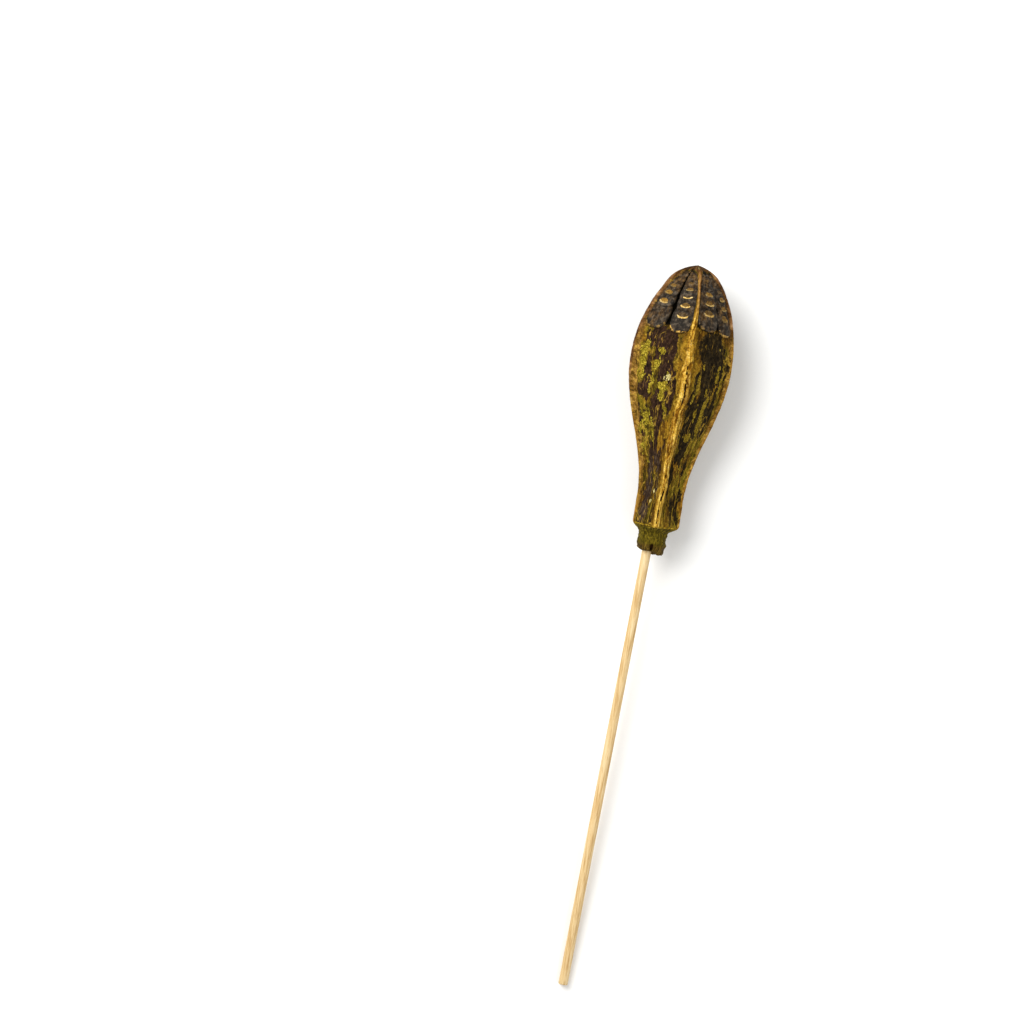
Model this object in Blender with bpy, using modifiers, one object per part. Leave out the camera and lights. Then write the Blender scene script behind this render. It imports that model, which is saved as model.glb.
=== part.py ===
"""Mahogany seed pod on its stick, lying on a surface.

The pod is the five-angled woody core that stays on its stalk after the fruit has opened and shed its seeds.
Five ribs run from the tip to the collar. Between two ribs, under the tip, two rows of seed scales overlap
like roof tiles. Below the collar is a short stub of stalk, and a round wooden stick is pushed into a hole in it.

A station is a distance from the tip, measured down the pod. An angle is measured round the pod from the top.
While it is modelled the pod points along +Y, with its tip at the origin, and it is laid down last.
"""

import math

import bmesh
import bpy
from mathutils import Matrix, Vector

MM = 0.001

# The pod's outline, as the radius of its ribs
WIDEST_STATION = 50 * MM
WIDEST_RADIUS = 26.7 * MM
CROWN_FULLNESS = 1.95
CROWN_BLUNTNESS = 0.58
WAIST_STATION = 118 * MM
WAIST_RADIUS = 12.4 * MM
COLLAR_STATION = 128 * MM
CROWN_LEAN = 1.4 * MM
CROWN_LEAN_REACH = 30 * MM

# Below the collar, for each ring: station, radius, and how round it is, from 0 (five-sided) to 1 (a circle)
BASE_OUTLINE = (
    (COLLAR_STATION, 12.3 * MM, 0.05),
    (130.4 * MM, 12.2 * MM, 0.15),
    (131.6 * MM, 11.2 * MM, 0.40),
    (132.6 * MM, 8.8 * MM, 0.80),
    (134.0 * MM, 7.3 * MM, 1.00),
    (137.0 * MM, 7.0 * MM, 1.00),
    (140.5 * MM, 7.2 * MM, 1.00),
    (143.0 * MM, 6.9 * MM, 1.00),
    (144.6 * MM, 5.9 * MM, 1.00),
    (145.2 * MM, 3.6 * MM, 1.00),
)
STUB_STATION = 134 * MM
STUB_END = 145.2 * MM

# The collar isn't square to the pod: one side of it hangs lower
COLLAR_SLANT = 2.6 * MM
COLLAR_SLANT_START = 112 * MM
COLLAR_SLANT_END = 142 * MM
STUB_OFFSET = -0.8 * MM
RAGGED_END = 0.9 * MM

# The five ribs: the angle of each at the tip and at the collar, in degrees, clockwise seen from the tip
RIB_ANGLES = ((11, -1), (77, 72), (144, 144), (216, 216), (286, 289))
RIB_HEIGHT = 1.2 * MM
RIB_HALF_WIDTH = 2.2 * MM
RIB_CRACK = 0.35 * MM
RIB_CRACK_HALF_WIDTH = 0.7 * MM
RIB_SWAY = 0.5 * MM

# The faces between the ribs: 0 is flat and 1 is as round as the pod's circle. The third one lies underneath.
FACE_FULLNESS = (0.30, 0.26, -0.02, 0.26, 0.30)
NECK_HOLLOW = 0.22
GROOVE_DEPTH = 2.4 * MM
GROOVE_HALF_WIDTH = 1.5 * MM
GROOVE_START = 7 * MM
GROOVE_END = 36 * MM
LUMP = 0.22 * MM

# How far across each face the groove between its two rows of scales is
GROOVE_PLACES = (0.48, 0.50, 0.50, 0.50, 0.57)

# The seed scales, two rows on each face. The last one in a row shows the most. The rest shrink to the tip.
LAST_LIP = 33.8 * MM
LAST_SHOWN = 9.0 * MM
NEXT_SHOWN = 5.3 * MM
SHOWN_RATIO = 0.89
SCALES_IN_ROW = 7
SCALE_TUCK = 5.5 * MM
SCALE_TUCK_REACH = 22 * MM
SCALE_WIDTH = 0.87
SCALE_THICKNESS = 2.0 * MM
SCALE_SINK = 0.45 * MM
SCALE_LIFT_DEGREES = 8.5
SCALE_BEVEL = 0.86
SCALE_SQUARENESS = 0.72
SCALE_SIDES = 14
ROW_STAGGER = 1.1 * MM

# The stick, pushed into the stub and leaning a little from the pod's own line
STICK_RADIUS = 2.38 * MM
STICK_SHOWN = 223 * MM
STICK_SUNK = 25 * MM
STICK_OFFSET = -2.4 * MM
STICK_LEAN_DEGREES = 2.2
STICK_SIDES = 24
STICK_END_ROUNDING = 0.35 * MM
GAP = 0.3 * MM

# Edges that turn more than this stay crisp
SHARP_DEGREES = 45

# The mesh of the pod: columns between a rib and the middle of a face, and rings along the pod
COLUMN_PLACES = (0.0, 0.07, 0.16, 0.34, 0.58, 0.82)
CROWN_RINGS = 21
BELLY_RINGS = 21
CROWN_END = 36 * MM
TIP_STATION = 0.35 * MM

# Where the pod has lain, its two lower ribs are worn flat
WORN_DEPTH = 0.3 * MM
FLOOR_CUT = 400 * MM


def smooth(share):
    share = max(0.0, min(1.0, share))
    return share * share * (3 - 2 * share)


def mix(low, high, share):
    return low + (high - low) * share


def rib_radius(station):
    """The radius of the ribs: a blunt crown, a belly that narrows along a cosine, and a straight neck."""
    if station < WIDEST_STATION:
        share = station / WIDEST_STATION
        return WIDEST_RADIUS * (1 - (1 - share) ** CROWN_FULLNESS) ** CROWN_BLUNTNESS
    share = min(1.0, (station - WIDEST_STATION) / (WAIST_STATION - WIDEST_STATION))
    return mix(WAIST_RADIUS, WIDEST_RADIUS, 0.5 + 0.5 * math.cos(math.pi * share))


def rib_angle(rib, station):
    """The angle of a rib at a station, in radians. The ribs sway a little on their way down."""
    start, end = RIB_ANGLES[rib % 5]
    turns = 360 * (rib // 5)
    degrees = mix(start, end, station / COLLAR_STATION) + turns
    sway = RIB_SWAY * math.sin(station / (17 * MM) + 2.1 * (rib % 5)) * smooth(station / (20 * MM))
    if rib % 5 in (2, 3):
        sway = 0
    return math.radians(degrees) + sway / max(rib_radius(station), WAIST_RADIUS)


def sector_of(angle, station):
    """The face at this angle, and how far across it the angle is, from 0 at one rib to 1 at the next."""
    first = rib_angle(0, station)
    angle = first + (angle - first) % (2 * math.pi)
    for face in range(5):
        low, high = rib_angle(face, station), rib_angle(face + 1, station)
        if angle <= high:
            return face, (angle - low) / (high - low), high - low
    return 4, 1.0, high - low


def flat_side(place, width):
    """The radius of a flat side between two ribs of radius 1, at a place across it."""
    half = width / 2
    return math.cos(half) / math.cos((place - 0.5) * width)


def face_fullness(face, station):
    """How round the face is at this station. The faces are hollow at the neck."""
    neck = NECK_HOLLOW * smooth((station - 85 * MM) / (35 * MM))
    return FACE_FULLNESS[face] - neck


def relief(face, place, width, radius, station):
    """What stands out from the smooth side: the rib at its ends, the groove between them, and low lumps."""
    from_rib = min(place, 1 - place) * width * radius
    from_groove = (place - GROOVE_PLACES[face]) * width * radius
    rib = RIB_HEIGHT * math.exp(-((from_rib / RIB_HALF_WIDTH) ** 4))
    rib -= RIB_CRACK * math.exp(-((from_rib / RIB_CRACK_HALF_WIDTH) ** 2))
    rib *= smooth(station / (10 * MM))
    open_share = smooth(station / GROOVE_START) * (1 - smooth((station - 24 * MM) / (GROOVE_END - 24 * MM)))
    groove = GROOVE_DEPTH * open_share * math.exp(-((from_groove / GROOVE_HALF_WIDTH) ** 2))
    lump = LUMP * math.sin(station / (6.5 * MM) + 1.7 * face) * math.sin(math.pi * place) ** 2
    return rib - groove + lump


def surface_point(station, angle, radius=None, roundness=None, with_relief=True):
    """A point on the pod. Without a radius it is on the pod above the collar."""
    face, place, width = sector_of(angle, station)
    base = radius is not None
    radius = radius or rib_radius(station)
    fullness = roundness if base else face_fullness(face, station)
    side = mix(flat_side(place, width), 1.0, fullness)
    reach = radius * side
    if with_relief and not base:
        reach += relief(face, place, width, radius, station) - RIB_HEIGHT
    lean = CROWN_LEAN * math.exp(-((station / CROWN_LEAN_REACH) ** 2))
    lean += STUB_OFFSET * smooth((station - COLLAR_STATION) / (STUB_STATION - COLLAR_STATION))
    return Vector((reach * math.sin(angle) + lean, -station, reach * math.cos(angle)))


def ring_list():
    """Each ring of the pod as station, radius and roundness. The last two are None above the collar."""
    rings = []
    for step in range(CROWN_RINGS):
        share = step / CROWN_RINGS
        rings.append((mix(TIP_STATION, CROWN_END, share**1.25), None, None))
    for step in range(BELLY_RINGS):
        rings.append((mix(CROWN_END, COLLAR_STATION, step / BELLY_RINGS), None, None))
    return rings + list(BASE_OUTLINE)


def column_angle(column, station):
    """The angle of a column, which keeps its place between the ribs all the way down."""
    per_face = 2 * len(COLUMN_PLACES)
    face, step = divmod(column, per_face)
    half = len(COLUMN_PLACES)
    places = COLUMN_PLACES + (1.0,)
    share = places[step] / 2 if step <= half else 1 - places[per_face - step] / 2
    return mix(rib_angle(face, station), rib_angle(face + 1, station), share)


def ragged(station, angle):
    """The torn end of the stub, which is longer on one side."""
    wave = math.sin(3 * angle + 0.6) + 0.6 * math.sin(5 * angle + 2.0) + 0.4 * math.sin(9 * angle)
    return RAGGED_END * 0.5 * wave * smooth((station - 139 * MM) / (5 * MM))


def collar_drop(station, angle):
    """How much lower the slanting collar is here. It fades out up the neck and down the stub."""
    above = smooth((station - COLLAR_SLANT_START) / (COLLAR_STATION - COLLAR_SLANT_START))
    below = 1 - smooth((station - COLLAR_STATION) / (COLLAR_SLANT_END - COLLAR_STATION))
    return COLLAR_SLANT * (0.5 + 0.5 * math.sin(angle)) * above * below


def stub_lump(station, angle):
    """The stub isn't a true circle: it has shallow knobs."""
    wave = math.sin(2 * angle + 0.9) + 0.8 * math.sin(4 * angle + 160 * station) + 0.5 * math.sin(7 * angle)
    return 0.035 * wave * smooth((station - 132 * MM) / (2 * MM))


def make_pod_body(collection):
    """The core without its scales: a sphere whose rings and columns are moved to the pod's surface."""
    rings = ring_list()
    columns = 2 * len(COLUMN_PLACES) * 5
    bands = len(rings) + 1
    mesh = bpy.data.meshes.new("seed_pod")
    shape = bmesh.new()
    bmesh.ops.create_uvsphere(shape, u_segments=columns, v_segments=bands, radius=1.0)
    for vertex in shape.verts:
        ring = round(math.acos(max(-1.0, min(1.0, vertex.co.z))) / math.pi * bands)
        if ring == 0:
            vertex.co = Vector((CROWN_LEAN, 0, 0))
        elif ring == bands:
            vertex.co = Vector((STUB_OFFSET, -STUB_END, 0))
        else:
            turn = math.atan2(vertex.co.y, vertex.co.x) / (2 * math.pi)
            station, radius, roundness = rings[ring - 1]
            angle = column_angle(round(turn * columns) % columns, station)
            if radius is not None:
                radius *= 1 + stub_lump(station, angle)
            vertex.co = surface_point(station, angle, radius, roundness)
            vertex.co.y -= ragged(station, angle) + collar_drop(station, angle)
    bmesh.ops.recalc_face_normals(shape, faces=shape.faces)
    shape.to_mesh(mesh)
    shape.free()
    body = bpy.data.objects.new("seed_pod", mesh)
    collection.objects.link(body)
    return body


def scale_stations():
    """For each scale in a row, from the last to the first, the station of its lip and how much of it shows."""
    station, shown, found = LAST_LIP, LAST_SHOWN, []
    for index in range(SCALES_IN_ROW):
        found.append((station, shown))
        station -= shown
        shown = NEXT_SHOWN * SHOWN_RATIO**index
    return found


def surface_frame(station, angle):
    """A matrix at a point of the smooth surface: X round the pod, Y towards the tip, Z outwards."""
    step = 0.5 * MM
    turn = 0.03
    here = surface_point(station, angle, with_relief=False)
    round_way = surface_point(station, angle + turn, with_relief=False) - surface_point(
        station, angle - turn, with_relief=False
    )
    tip_way = surface_point(station - step, angle, with_relief=False) - surface_point(
        station + step, angle, with_relief=False
    )
    outward = round_way.cross(tip_way).normalized()
    x_axis = tip_way.cross(outward).normalized()
    y_axis = outward.cross(x_axis)
    matrix = Matrix((x_axis, y_axis, outward)).transposed().to_4x4()
    return Matrix.Translation(here) @ matrix


def make_scale(name, face, side, lip, shown, collection):
    """One seed scale: a tile with round corners, sunk into the core at its top and lifted at its lip."""
    length = shown + SCALE_TUCK * min(1.0, lip / SCALE_TUCK_REACH)
    middle = lip - length / 2
    low, high = rib_angle(face, lip), rib_angle(face + 1, lip)
    groove = GROOVE_PLACES[face]
    row_share = groove if side < 0 else 1 - groove
    place = groove + side * row_share / 2
    row_width = row_share * (high - low) * rib_radius(lip - shown / 2)
    mesh = bpy.data.meshes.new(name)
    shape = bmesh.new()
    bmesh.ops.create_cone(
        shape, cap_ends=True, segments=SCALE_SIDES, radius1=1.0, radius2=SCALE_BEVEL, depth=1.0
    )
    for vertex in shape.verts:
        vertex.co.x = math.copysign(abs(vertex.co.x) ** SCALE_SQUARENESS, vertex.co.x)
        vertex.co.y = math.copysign(abs(vertex.co.y) ** SCALE_SQUARENESS, vertex.co.y)
    size = Matrix.Diagonal((SCALE_WIDTH * row_width / 2, length / 2, SCALE_THICKNESS, 1.0))
    lift = Matrix.Rotation(-math.radians(SCALE_LIFT_DEGREES), 4, "X")
    frame = surface_frame(max(middle, TIP_STATION * 4), mix(low, high, place))
    sink = Matrix.Translation(Vector((0, 0, -RIB_HEIGHT - SCALE_SINK)))
    shape.transform(frame @ sink @ lift @ size)
    shape.to_mesh(mesh)
    shape.free()
    collection.objects.link(bpy.data.objects.new(name, mesh))


def add_scales(body):
    """Two rows of scales on each face, joined to the core by one union."""
    scales = bpy.data.collections.new("scales")
    bpy.context.scene.collection.children.link(scales)
    for face in range(5):
        for side in (-1, 1):
            stagger = ROW_STAGGER * (1 if (face + side) % 2 else 0)
            for index, (lip, shown) in enumerate(scale_stations()):
                name = f"scale_{face}_{side}_{index}"
                make_scale(name, face, side, lip - stagger, shown, scales)
    join = body.modifiers.new("join_scales", "BOOLEAN")
    join.operation = "UNION"
    join.operand_type = "COLLECTION"
    join.collection = scales
    join.solver = "EXACT"
    bpy.context.view_layer.objects.active = body
    bpy.ops.object.modifier_apply(modifier=join.name)
    for scale in list(scales.objects):
        bpy.data.objects.remove(scale)
    bpy.data.collections.remove(scales)


def fill_pockets(body):
    """The union can close small pockets between scales. Keeping only the outer shell makes them solid."""
    shape = bmesh.new()
    shape.from_mesh(body.data)
    unseen = set(shape.verts)
    shells = []
    while unseen:
        front = [unseen.pop()]
        shell = list(front)
        while front:
            for edge in front.pop().link_edges:
                for vertex in edge.verts:
                    if vertex in unseen:
                        unseen.remove(vertex)
                        front.append(vertex)
                        shell.append(vertex)
        shells.append(shell)
    shells.sort(key=len)
    for shell in shells[:-1]:
        bmesh.ops.delete(shape, geom=shell, context="VERTS")
    shape.to_mesh(body.data)
    shape.free()


def stick_line():
    """The middle of the stick's upper end, and the way that the stick runs from it."""
    lean = math.radians(STICK_LEAN_DEGREES)
    way = Vector((-math.sin(lean), -math.cos(lean), 0))
    mouth = Vector((STICK_OFFSET, -STUB_END, 0))
    return mouth - way * STICK_SUNK, way


def add_rod(name, radius, start, way, length, collection):
    """A round rod from start along way. A cylinder's own axis is Z."""
    bpy.ops.mesh.primitive_cylinder_add(vertices=STICK_SIDES, radius=radius, depth=length)
    rod = bpy.context.object
    rod.name = name
    rod.rotation_mode = "QUATERNION"
    rod.rotation_quaternion = way.to_track_quat("Z", "X")
    rod.location = start + way * (length / 2)
    for holder in rod.users_collection:
        holder.objects.unlink(rod)
    collection.objects.link(rod)
    return rod


def add_stick(collection):
    start, way = stick_line()
    stick = add_rod("stick", STICK_RADIUS, start, way, STICK_SUNK + STICK_SHOWN, collection)
    rounding = stick.modifiers.new("cut_edges", "BEVEL")
    rounding.width = STICK_END_ROUNDING
    rounding.segments = 2
    rounding.limit_method = "ANGLE"
    rounding.angle_limit = math.radians(40)
    return stick


def drill_pod(body, cutters):
    """The hole that the stick sits in, open at the stub's end."""
    start, way = stick_line()
    start = start - way * GAP
    length = STICK_SUNK + 10 * MM
    drill = add_rod("drill", STICK_RADIUS + GAP, start, way, length, cutters)
    hide_helper(drill)
    cut = body.modifiers.new("stick_hole", "BOOLEAN")
    cut.operation = "DIFFERENCE"
    cut.object = drill
    return drill


def wear_pod(body, cutters):
    """The flats on the two lower ribs, in the plane of the surface that the pod lies on."""
    bpy.ops.mesh.primitive_cube_add(size=FLOOR_CUT, location=(0, 0, -FLOOR_CUT / 2))
    floor = bpy.context.object
    floor.name = "worn_plane"
    for holder in floor.users_collection:
        holder.objects.unlink(floor)
    cutters.objects.link(floor)
    hide_helper(floor)
    cut = body.modifiers.new("worn_flats", "BOOLEAN")
    cut.operation = "DIFFERENCE"
    cut.object = floor


def hide_helper(helper):
    helper.hide_render = True
    helper.display_type = "WIRE"


def local_points(piece):
    return [piece.matrix_local @ vertex.co for vertex in piece.data.vertices]


def lowest(points, tilt):
    turned = Matrix.Rotation(tilt, 3, "X")
    return min((turned @ point).z for point in points)


def resting_tilt(pod_points, stick_points):
    """The slope at which the stick's end and the worn ribs reach the same surface, found by halving."""
    low, high = 0.0, math.radians(10)
    for _ in range(40):
        tilt = (low + high) / 2
        if lowest(stick_points, tilt) > lowest(pod_points, tilt) + WORN_DEPTH:
            low = tilt
        else:
            high = tilt
    return tilt


def lay_down(body, stick, drill):
    """Parents the pieces to one empty, and lays it on the surface with the origin under the middle."""
    bpy.context.view_layer.update()
    pod_points, stick_points = local_points(body), local_points(stick)
    tilt = resting_tilt(pod_points, stick_points)
    turned = Matrix.Rotation(tilt, 3, "X")
    points = [turned @ point for point in pod_points + stick_points]
    middle = [(min(p[i] for p in points) + max(p[i] for p in points)) / 2 for i in (0, 1)]
    rest = bpy.data.objects.new("lying_pod", None)
    bpy.context.scene.collection.objects.link(rest)
    rest.rotation_euler = (tilt, 0, 0)
    rest.location = (-middle[0], -middle[1], -lowest(stick_points, tilt))
    for piece in (body, stick, drill):
        piece.parent = rest


def make_material(name, colour, roughness):
    material = bpy.data.materials.new(name)
    material.use_nodes = True
    shader = material.node_tree.nodes["Principled BSDF"]
    shader.inputs["Base Color"].default_value = (*colour, 1.0)
    shader.inputs["Roughness"].default_value = roughness
    shader.inputs["Metallic"].default_value = 0.0
    return material


def main():
    for old in list(bpy.data.objects):
        bpy.data.objects.remove(old)
    pod_parts = bpy.data.collections.new("mahogany_seed_pod")
    cutters = bpy.data.collections.new("cutters")
    for collection in (pod_parts, cutters):
        bpy.context.scene.collection.children.link(collection)
    body = make_pod_body(pod_parts)
    add_scales(body)
    fill_pockets(body)
    stick = add_stick(pod_parts)
    drill = drill_pod(body, cutters)
    lay_down(body, stick, drill)
    wear_pod(body, cutters)
    body.data.materials.append(make_material("weathered_pod_wood", (0.23, 0.16, 0.03), 0.6))
    stick.data.materials.append(make_material("pale_stick_wood", (0.82, 0.66, 0.40), 0.55))
    for piece in (body, stick):
        piece.data.shade_smooth()
        piece.data.set_sharp_from_angle(angle=math.radians(SHARP_DEGREES))


main()
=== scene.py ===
"""Mahogany seed pod on its stick, dressed for the camera.

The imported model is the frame. Its two solids are replaced with finer pieces of the same form, and a pale
floor, soft light and a camera that looks down on the pod complete the scene.

A station is a distance from the tip, measured down the pod. A turn counts ribs round the pod from the top
one, so 0.5 is the middle of the first face, the one to the right of the top rib in the picture.
"""

import math
from functools import partial
from itertools import product

import bmesh
import bpy
import numpy as np
from mathutils import Euler, Matrix, Vector


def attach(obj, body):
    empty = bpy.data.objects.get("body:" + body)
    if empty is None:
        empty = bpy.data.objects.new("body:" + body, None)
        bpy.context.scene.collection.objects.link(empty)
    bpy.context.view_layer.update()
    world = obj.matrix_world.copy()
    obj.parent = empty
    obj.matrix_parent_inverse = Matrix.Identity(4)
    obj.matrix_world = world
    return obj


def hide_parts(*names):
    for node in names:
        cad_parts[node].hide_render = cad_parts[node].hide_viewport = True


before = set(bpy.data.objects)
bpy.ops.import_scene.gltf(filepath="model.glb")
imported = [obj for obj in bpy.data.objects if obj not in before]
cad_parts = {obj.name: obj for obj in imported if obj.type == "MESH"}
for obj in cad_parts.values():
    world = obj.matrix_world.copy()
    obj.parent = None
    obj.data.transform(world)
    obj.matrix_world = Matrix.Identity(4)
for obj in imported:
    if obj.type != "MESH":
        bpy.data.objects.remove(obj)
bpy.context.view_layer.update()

bl_info = {
    "name": "Mahogany seed pod",
    "version": (1, 0, 0),
    "blender": (4, 5, 0),
    "location": "View3D > Sidebar > Seed pod",
    "description": "Builds a dried mahogany seed pod on a wooden stick",
    "category": "Object",
}

MM = 0.001
BODY = "root"
POD_NODE, STICK_NODE = "seed_pod", "stick"

# How the pod lies: the slope of its own line, and where its tip is
LYING_SLOPE = 0.05949438
TIP_PLACE = (-0.00010669, 0.18377632, 0.02425900)

# The outline, as the radius of the ribs
WIDEST_STATION, WIDEST_RADIUS = 50 * MM, 26.7 * MM
CROWN_FULLNESS, CROWN_BLUNTNESS = 1.95, 0.58
WAIST_STATION, WAIST_RADIUS = 118 * MM, 12.4 * MM
COLLAR_STATION = 128 * MM
CROWN_LEAN, CROWN_LEAN_REACH = 1.4 * MM, 30 * MM
STUB_OFFSET, STUB_STATION = -0.8 * MM, 134 * MM
FLOOR_GAP = 0.02 * MM

# The angle of each side rib at the tip and at the collar, in degrees from the top, and its sway
RIB_ANGLES = ((77, 72), (144, 144), (216, 216), (286, 289))
RIB_SWAYS = (0.0, 0.5 * MM, 0.0, 0.0, 0.5 * MM)
RIB_WIDTHS = (1.0, 0.36, 0.8, 0.8, 0.30)
LEAST_RIB_WIDTHS = (0.4, 0.7, 0.7, 0.7, 1.35)
TIP_RIB_HEIGHTS = (0.0, 0.5, 0.3, 0.3, 1.0)
# Where each rib starts to turn from old brown to gold, and over what length, in mm
OLD_RIB_ENDS = (13, 26, 30, 30, 48)
OLD_RIB_FADES = (15, 14, 14, 14, 30)
COLLAR_SLANT, COLLAR_SLANT_START, COLLAR_SLANT_END = 2.6 * MM, 112 * MM, 142 * MM
COLLAR_HANG = 2.2 * MM
TOP_RIB_STATIONS = (0, 10, 20, 28, 38, 48, 60, 66, 73, 88, 97, 105, 112, 120, 128)
TOP_RIB_DEGREES = (9.5, 9.2, 9.2, 7.8, 6.4, 7.8, 8.2, 8.4, 6.2, 5.6, 2.6, 4.4, 5.6, 1.8, 0.4)
FACE_FULLNESS = (0.30, 0.26, -0.02, 0.26, 0.30)
NECK_HOLLOW = 0.22


def smooth(share):
    """0 to 1, eased at both ends."""
    share = np.clip(share, 0.0, 1.0)
    return share * share * (3 - 2 * share)


def rise(station, start, length):
    """0 up to a start in mm, and then a smooth rise to 1 over a length in mm."""
    return smooth((station / MM - start) / length)


def bell(value, width, power=2):
    """1 at 0, falling off to both sides. A higher power gives a flat top and steep sides."""
    return np.exp(-(np.abs(value / width) ** power))


def soft_noise(points, size, seed):
    """Smooth random values from -1 to 1 with lumps of about the given size, the same on every run."""
    cells = points / size + 1000.5
    corner = np.floor(cells).astype(np.int64)
    part = cells - corner
    part = part * part * (3 - 2 * part)
    total = np.zeros(points.shape[0])
    for step in product((0, 1), repeat=3):
        key = corner + np.array(step)
        number = key[:, 0] * 374761393 + key[:, 1] * 668265263 + key[:, 2] * 1440662683 + seed * 974634777
        number = (number ^ (number >> 13)) & 0xFFFFFFFF
        number = (number * 1274126177) & 0xFFFFFFFF
        number = (number ^ (number >> 16)) & 0xFFFFFF
        share = np.prod(np.where(np.array(step) == 1, part, 1 - part), axis=1)
        total += share * (number / 0xFFFFFF * 2 - 1)
    return total


def rib_radius(station):
    rise = np.clip(station / WIDEST_STATION, 0, 1)
    crown = WIDEST_RADIUS * (1 - (1 - rise) ** CROWN_FULLNESS) ** CROWN_BLUNTNESS
    fall = np.clip((station - WIDEST_STATION) / (WAIST_STATION - WIDEST_STATION), 0, 1)
    neck = WAIST_RADIUS + (WIDEST_RADIUS - WAIST_RADIUS) * (0.5 + 0.5 * np.cos(math.pi * fall))
    return np.where(station < WIDEST_STATION, crown, neck)


def rib_angle(rib, station):
    """The angle of a rib at each station, in radians from the top."""
    rounds, rib = divmod(rib, 5)
    if rib == 0:
        degrees = np.interp(station / MM, TOP_RIB_STATIONS, TOP_RIB_DEGREES)
    else:
        start, end = RIB_ANGLES[rib - 1]
        degrees = start + (end - start) * station / COLLAR_STATION
    sway = RIB_SWAYS[rib] * np.sin(station / (17 * MM) + 2.1 * rib) * rise(station, 0, 20)
    return np.radians(degrees + 360 * rounds) + sway / np.maximum(rib_radius(station), WAIST_RADIUS)


def angle_at(turn, station):
    """The angle of a turn at each station, and the width of the face that it is on."""
    low = np.zeros_like(station)
    high = np.zeros_like(station)
    face = np.floor(turn % 5).astype(int)
    for index in range(5):
        here = face == index
        low[here] = rib_angle(index, station[here])
        high[here] = rib_angle(index + 1, station[here])
    place = turn % 5 - face
    return low + (high - low) * place, high - low, face, place


def plain_side(turn, station, radius=None, roundness=None):
    """The pod's surface without ribs or marks, as reach from its middle line, with the angle and the face."""
    angle, width, face, place = angle_at(turn, station)
    if radius is None:
        radius = rib_radius(station)
    if roundness is None:
        neck = NECK_HOLLOW * rise(station, 85, 35)
        roundness = np.array(FACE_FULLNESS)[face] - neck
    flat = np.cos(width / 2) / np.cos((place - 0.5) * width)
    return radius * (flat + (1 - flat) * roundness), angle, face, place, width


def collar_drop(station, angle):
    """How much lower the slanting collar is at each point. It fades out up the neck and down the stub.

    The collar hangs a little lower on top and on the left than an even slant.
    """
    above = smooth((station - COLLAR_SLANT_START) / (COLLAR_STATION - COLLAR_SLANT_START))
    below = 1 - smooth((station - COLLAR_STATION) / (COLLAR_SLANT_END - COLLAR_STATION))
    hanging = COLLAR_HANG * (0.5 - 0.5 * np.sin(angle) + 0.2 * np.maximum(np.cos(angle), 0))
    return (COLLAR_SLANT * (0.5 + 0.5 * np.sin(angle)) + hanging) * above * below


def to_place(reach, angle, station):
    """Points in the shared frame, from reach, angle and station."""
    lean = CROWN_LEAN * np.exp(-((station / CROWN_LEAN_REACH) ** 2))
    lean = lean + STUB_OFFSET * smooth((station - COLLAR_STATION) / (STUB_STATION - COLLAR_STATION))
    down = station + collar_drop(station, angle)
    return lay_down(np.stack([reach * np.sin(angle) + lean, -down, reach * np.cos(angle)], axis=-1))


def lay_down(points):
    """Turns points of the upright pod to how it lies."""
    turned = np.empty_like(points)
    cosine, sine = math.cos(LYING_SLOPE), math.sin(LYING_SLOPE)
    turned[..., 0] = points[..., 0] + TIP_PLACE[0]
    turned[..., 1] = points[..., 1] * cosine - points[..., 2] * sine + TIP_PLACE[1]
    turned[..., 2] = points[..., 1] * sine + points[..., 2] * cosine + TIP_PLACE[2]
    return turned


class PodSizes(bpy.types.PropertyGroup):
    """Sizes of the pod's own details, which its solid leaves plain"""

    rib_height: bpy.props.FloatProperty(
        name="Rib height", description="How far a rib stands above its faces",
        default=1.25 * MM, unit="LENGTH")
    rib_crack: bpy.props.FloatProperty(
        name="Rib crack", description="Depth of the crack along a rib", default=0.75 * MM, unit="LENGTH")
    crevice: bpy.props.FloatProperty(
        name="Crevice", description="Depth of the crevice between two rows of scales",
        default=3.2 * MM, unit="LENGTH")
    grain: bpy.props.FloatProperty(
        name="Grain", description="Height of the fine lengthwise grain", default=0.07 * MM, unit="LENGTH")
    columns: bpy.props.IntProperty(
        name="Columns", description="Columns of faces round the pod", default=336)
    ring_pitch: bpy.props.FloatProperty(
        name="Ring pitch", description="Distance between two rings of faces",
        default=0.58 * MM, unit="LENGTH")
    fibres: bpy.props.IntProperty(
        name="Fibres", description="Loose fibres along the ribs", default=230)


class ScaleSizes(bpy.types.PropertyGroup):
    """Sizes of the seed scales under the tip"""

    last_lip: bpy.props.FloatProperty(
        name="Last lip", description="Station of the last scale's lip", default=34.2 * MM, unit="LENGTH")
    last_shown: bpy.props.FloatProperty(
        name="Last length", description="Length that the last scale shows", default=10.7 * MM, unit="LENGTH")
    next_shown: bpy.props.FloatProperty(
        name="Next length", description="Length that the scale before it shows",
        default=4.9 * MM, unit="LENGTH")
    shown_ratio: bpy.props.FloatProperty(
        name="Ratio", description="Each scale's length over the one below it", default=0.85)
    tuck: bpy.props.FloatProperty(
        name="Tuck", description="Length of a scale under its neighbour", default=5.0 * MM, unit="LENGTH")
    thickness: bpy.props.FloatProperty(
        name="Thickness", description="Thickness of a scale", default=1.1 * MM, unit="LENGTH")
    lift: bpy.props.FloatProperty(
        name="Lift", description="Slope of a scale against the pod",
        default=math.radians(4.0), subtype="ANGLE")


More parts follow.
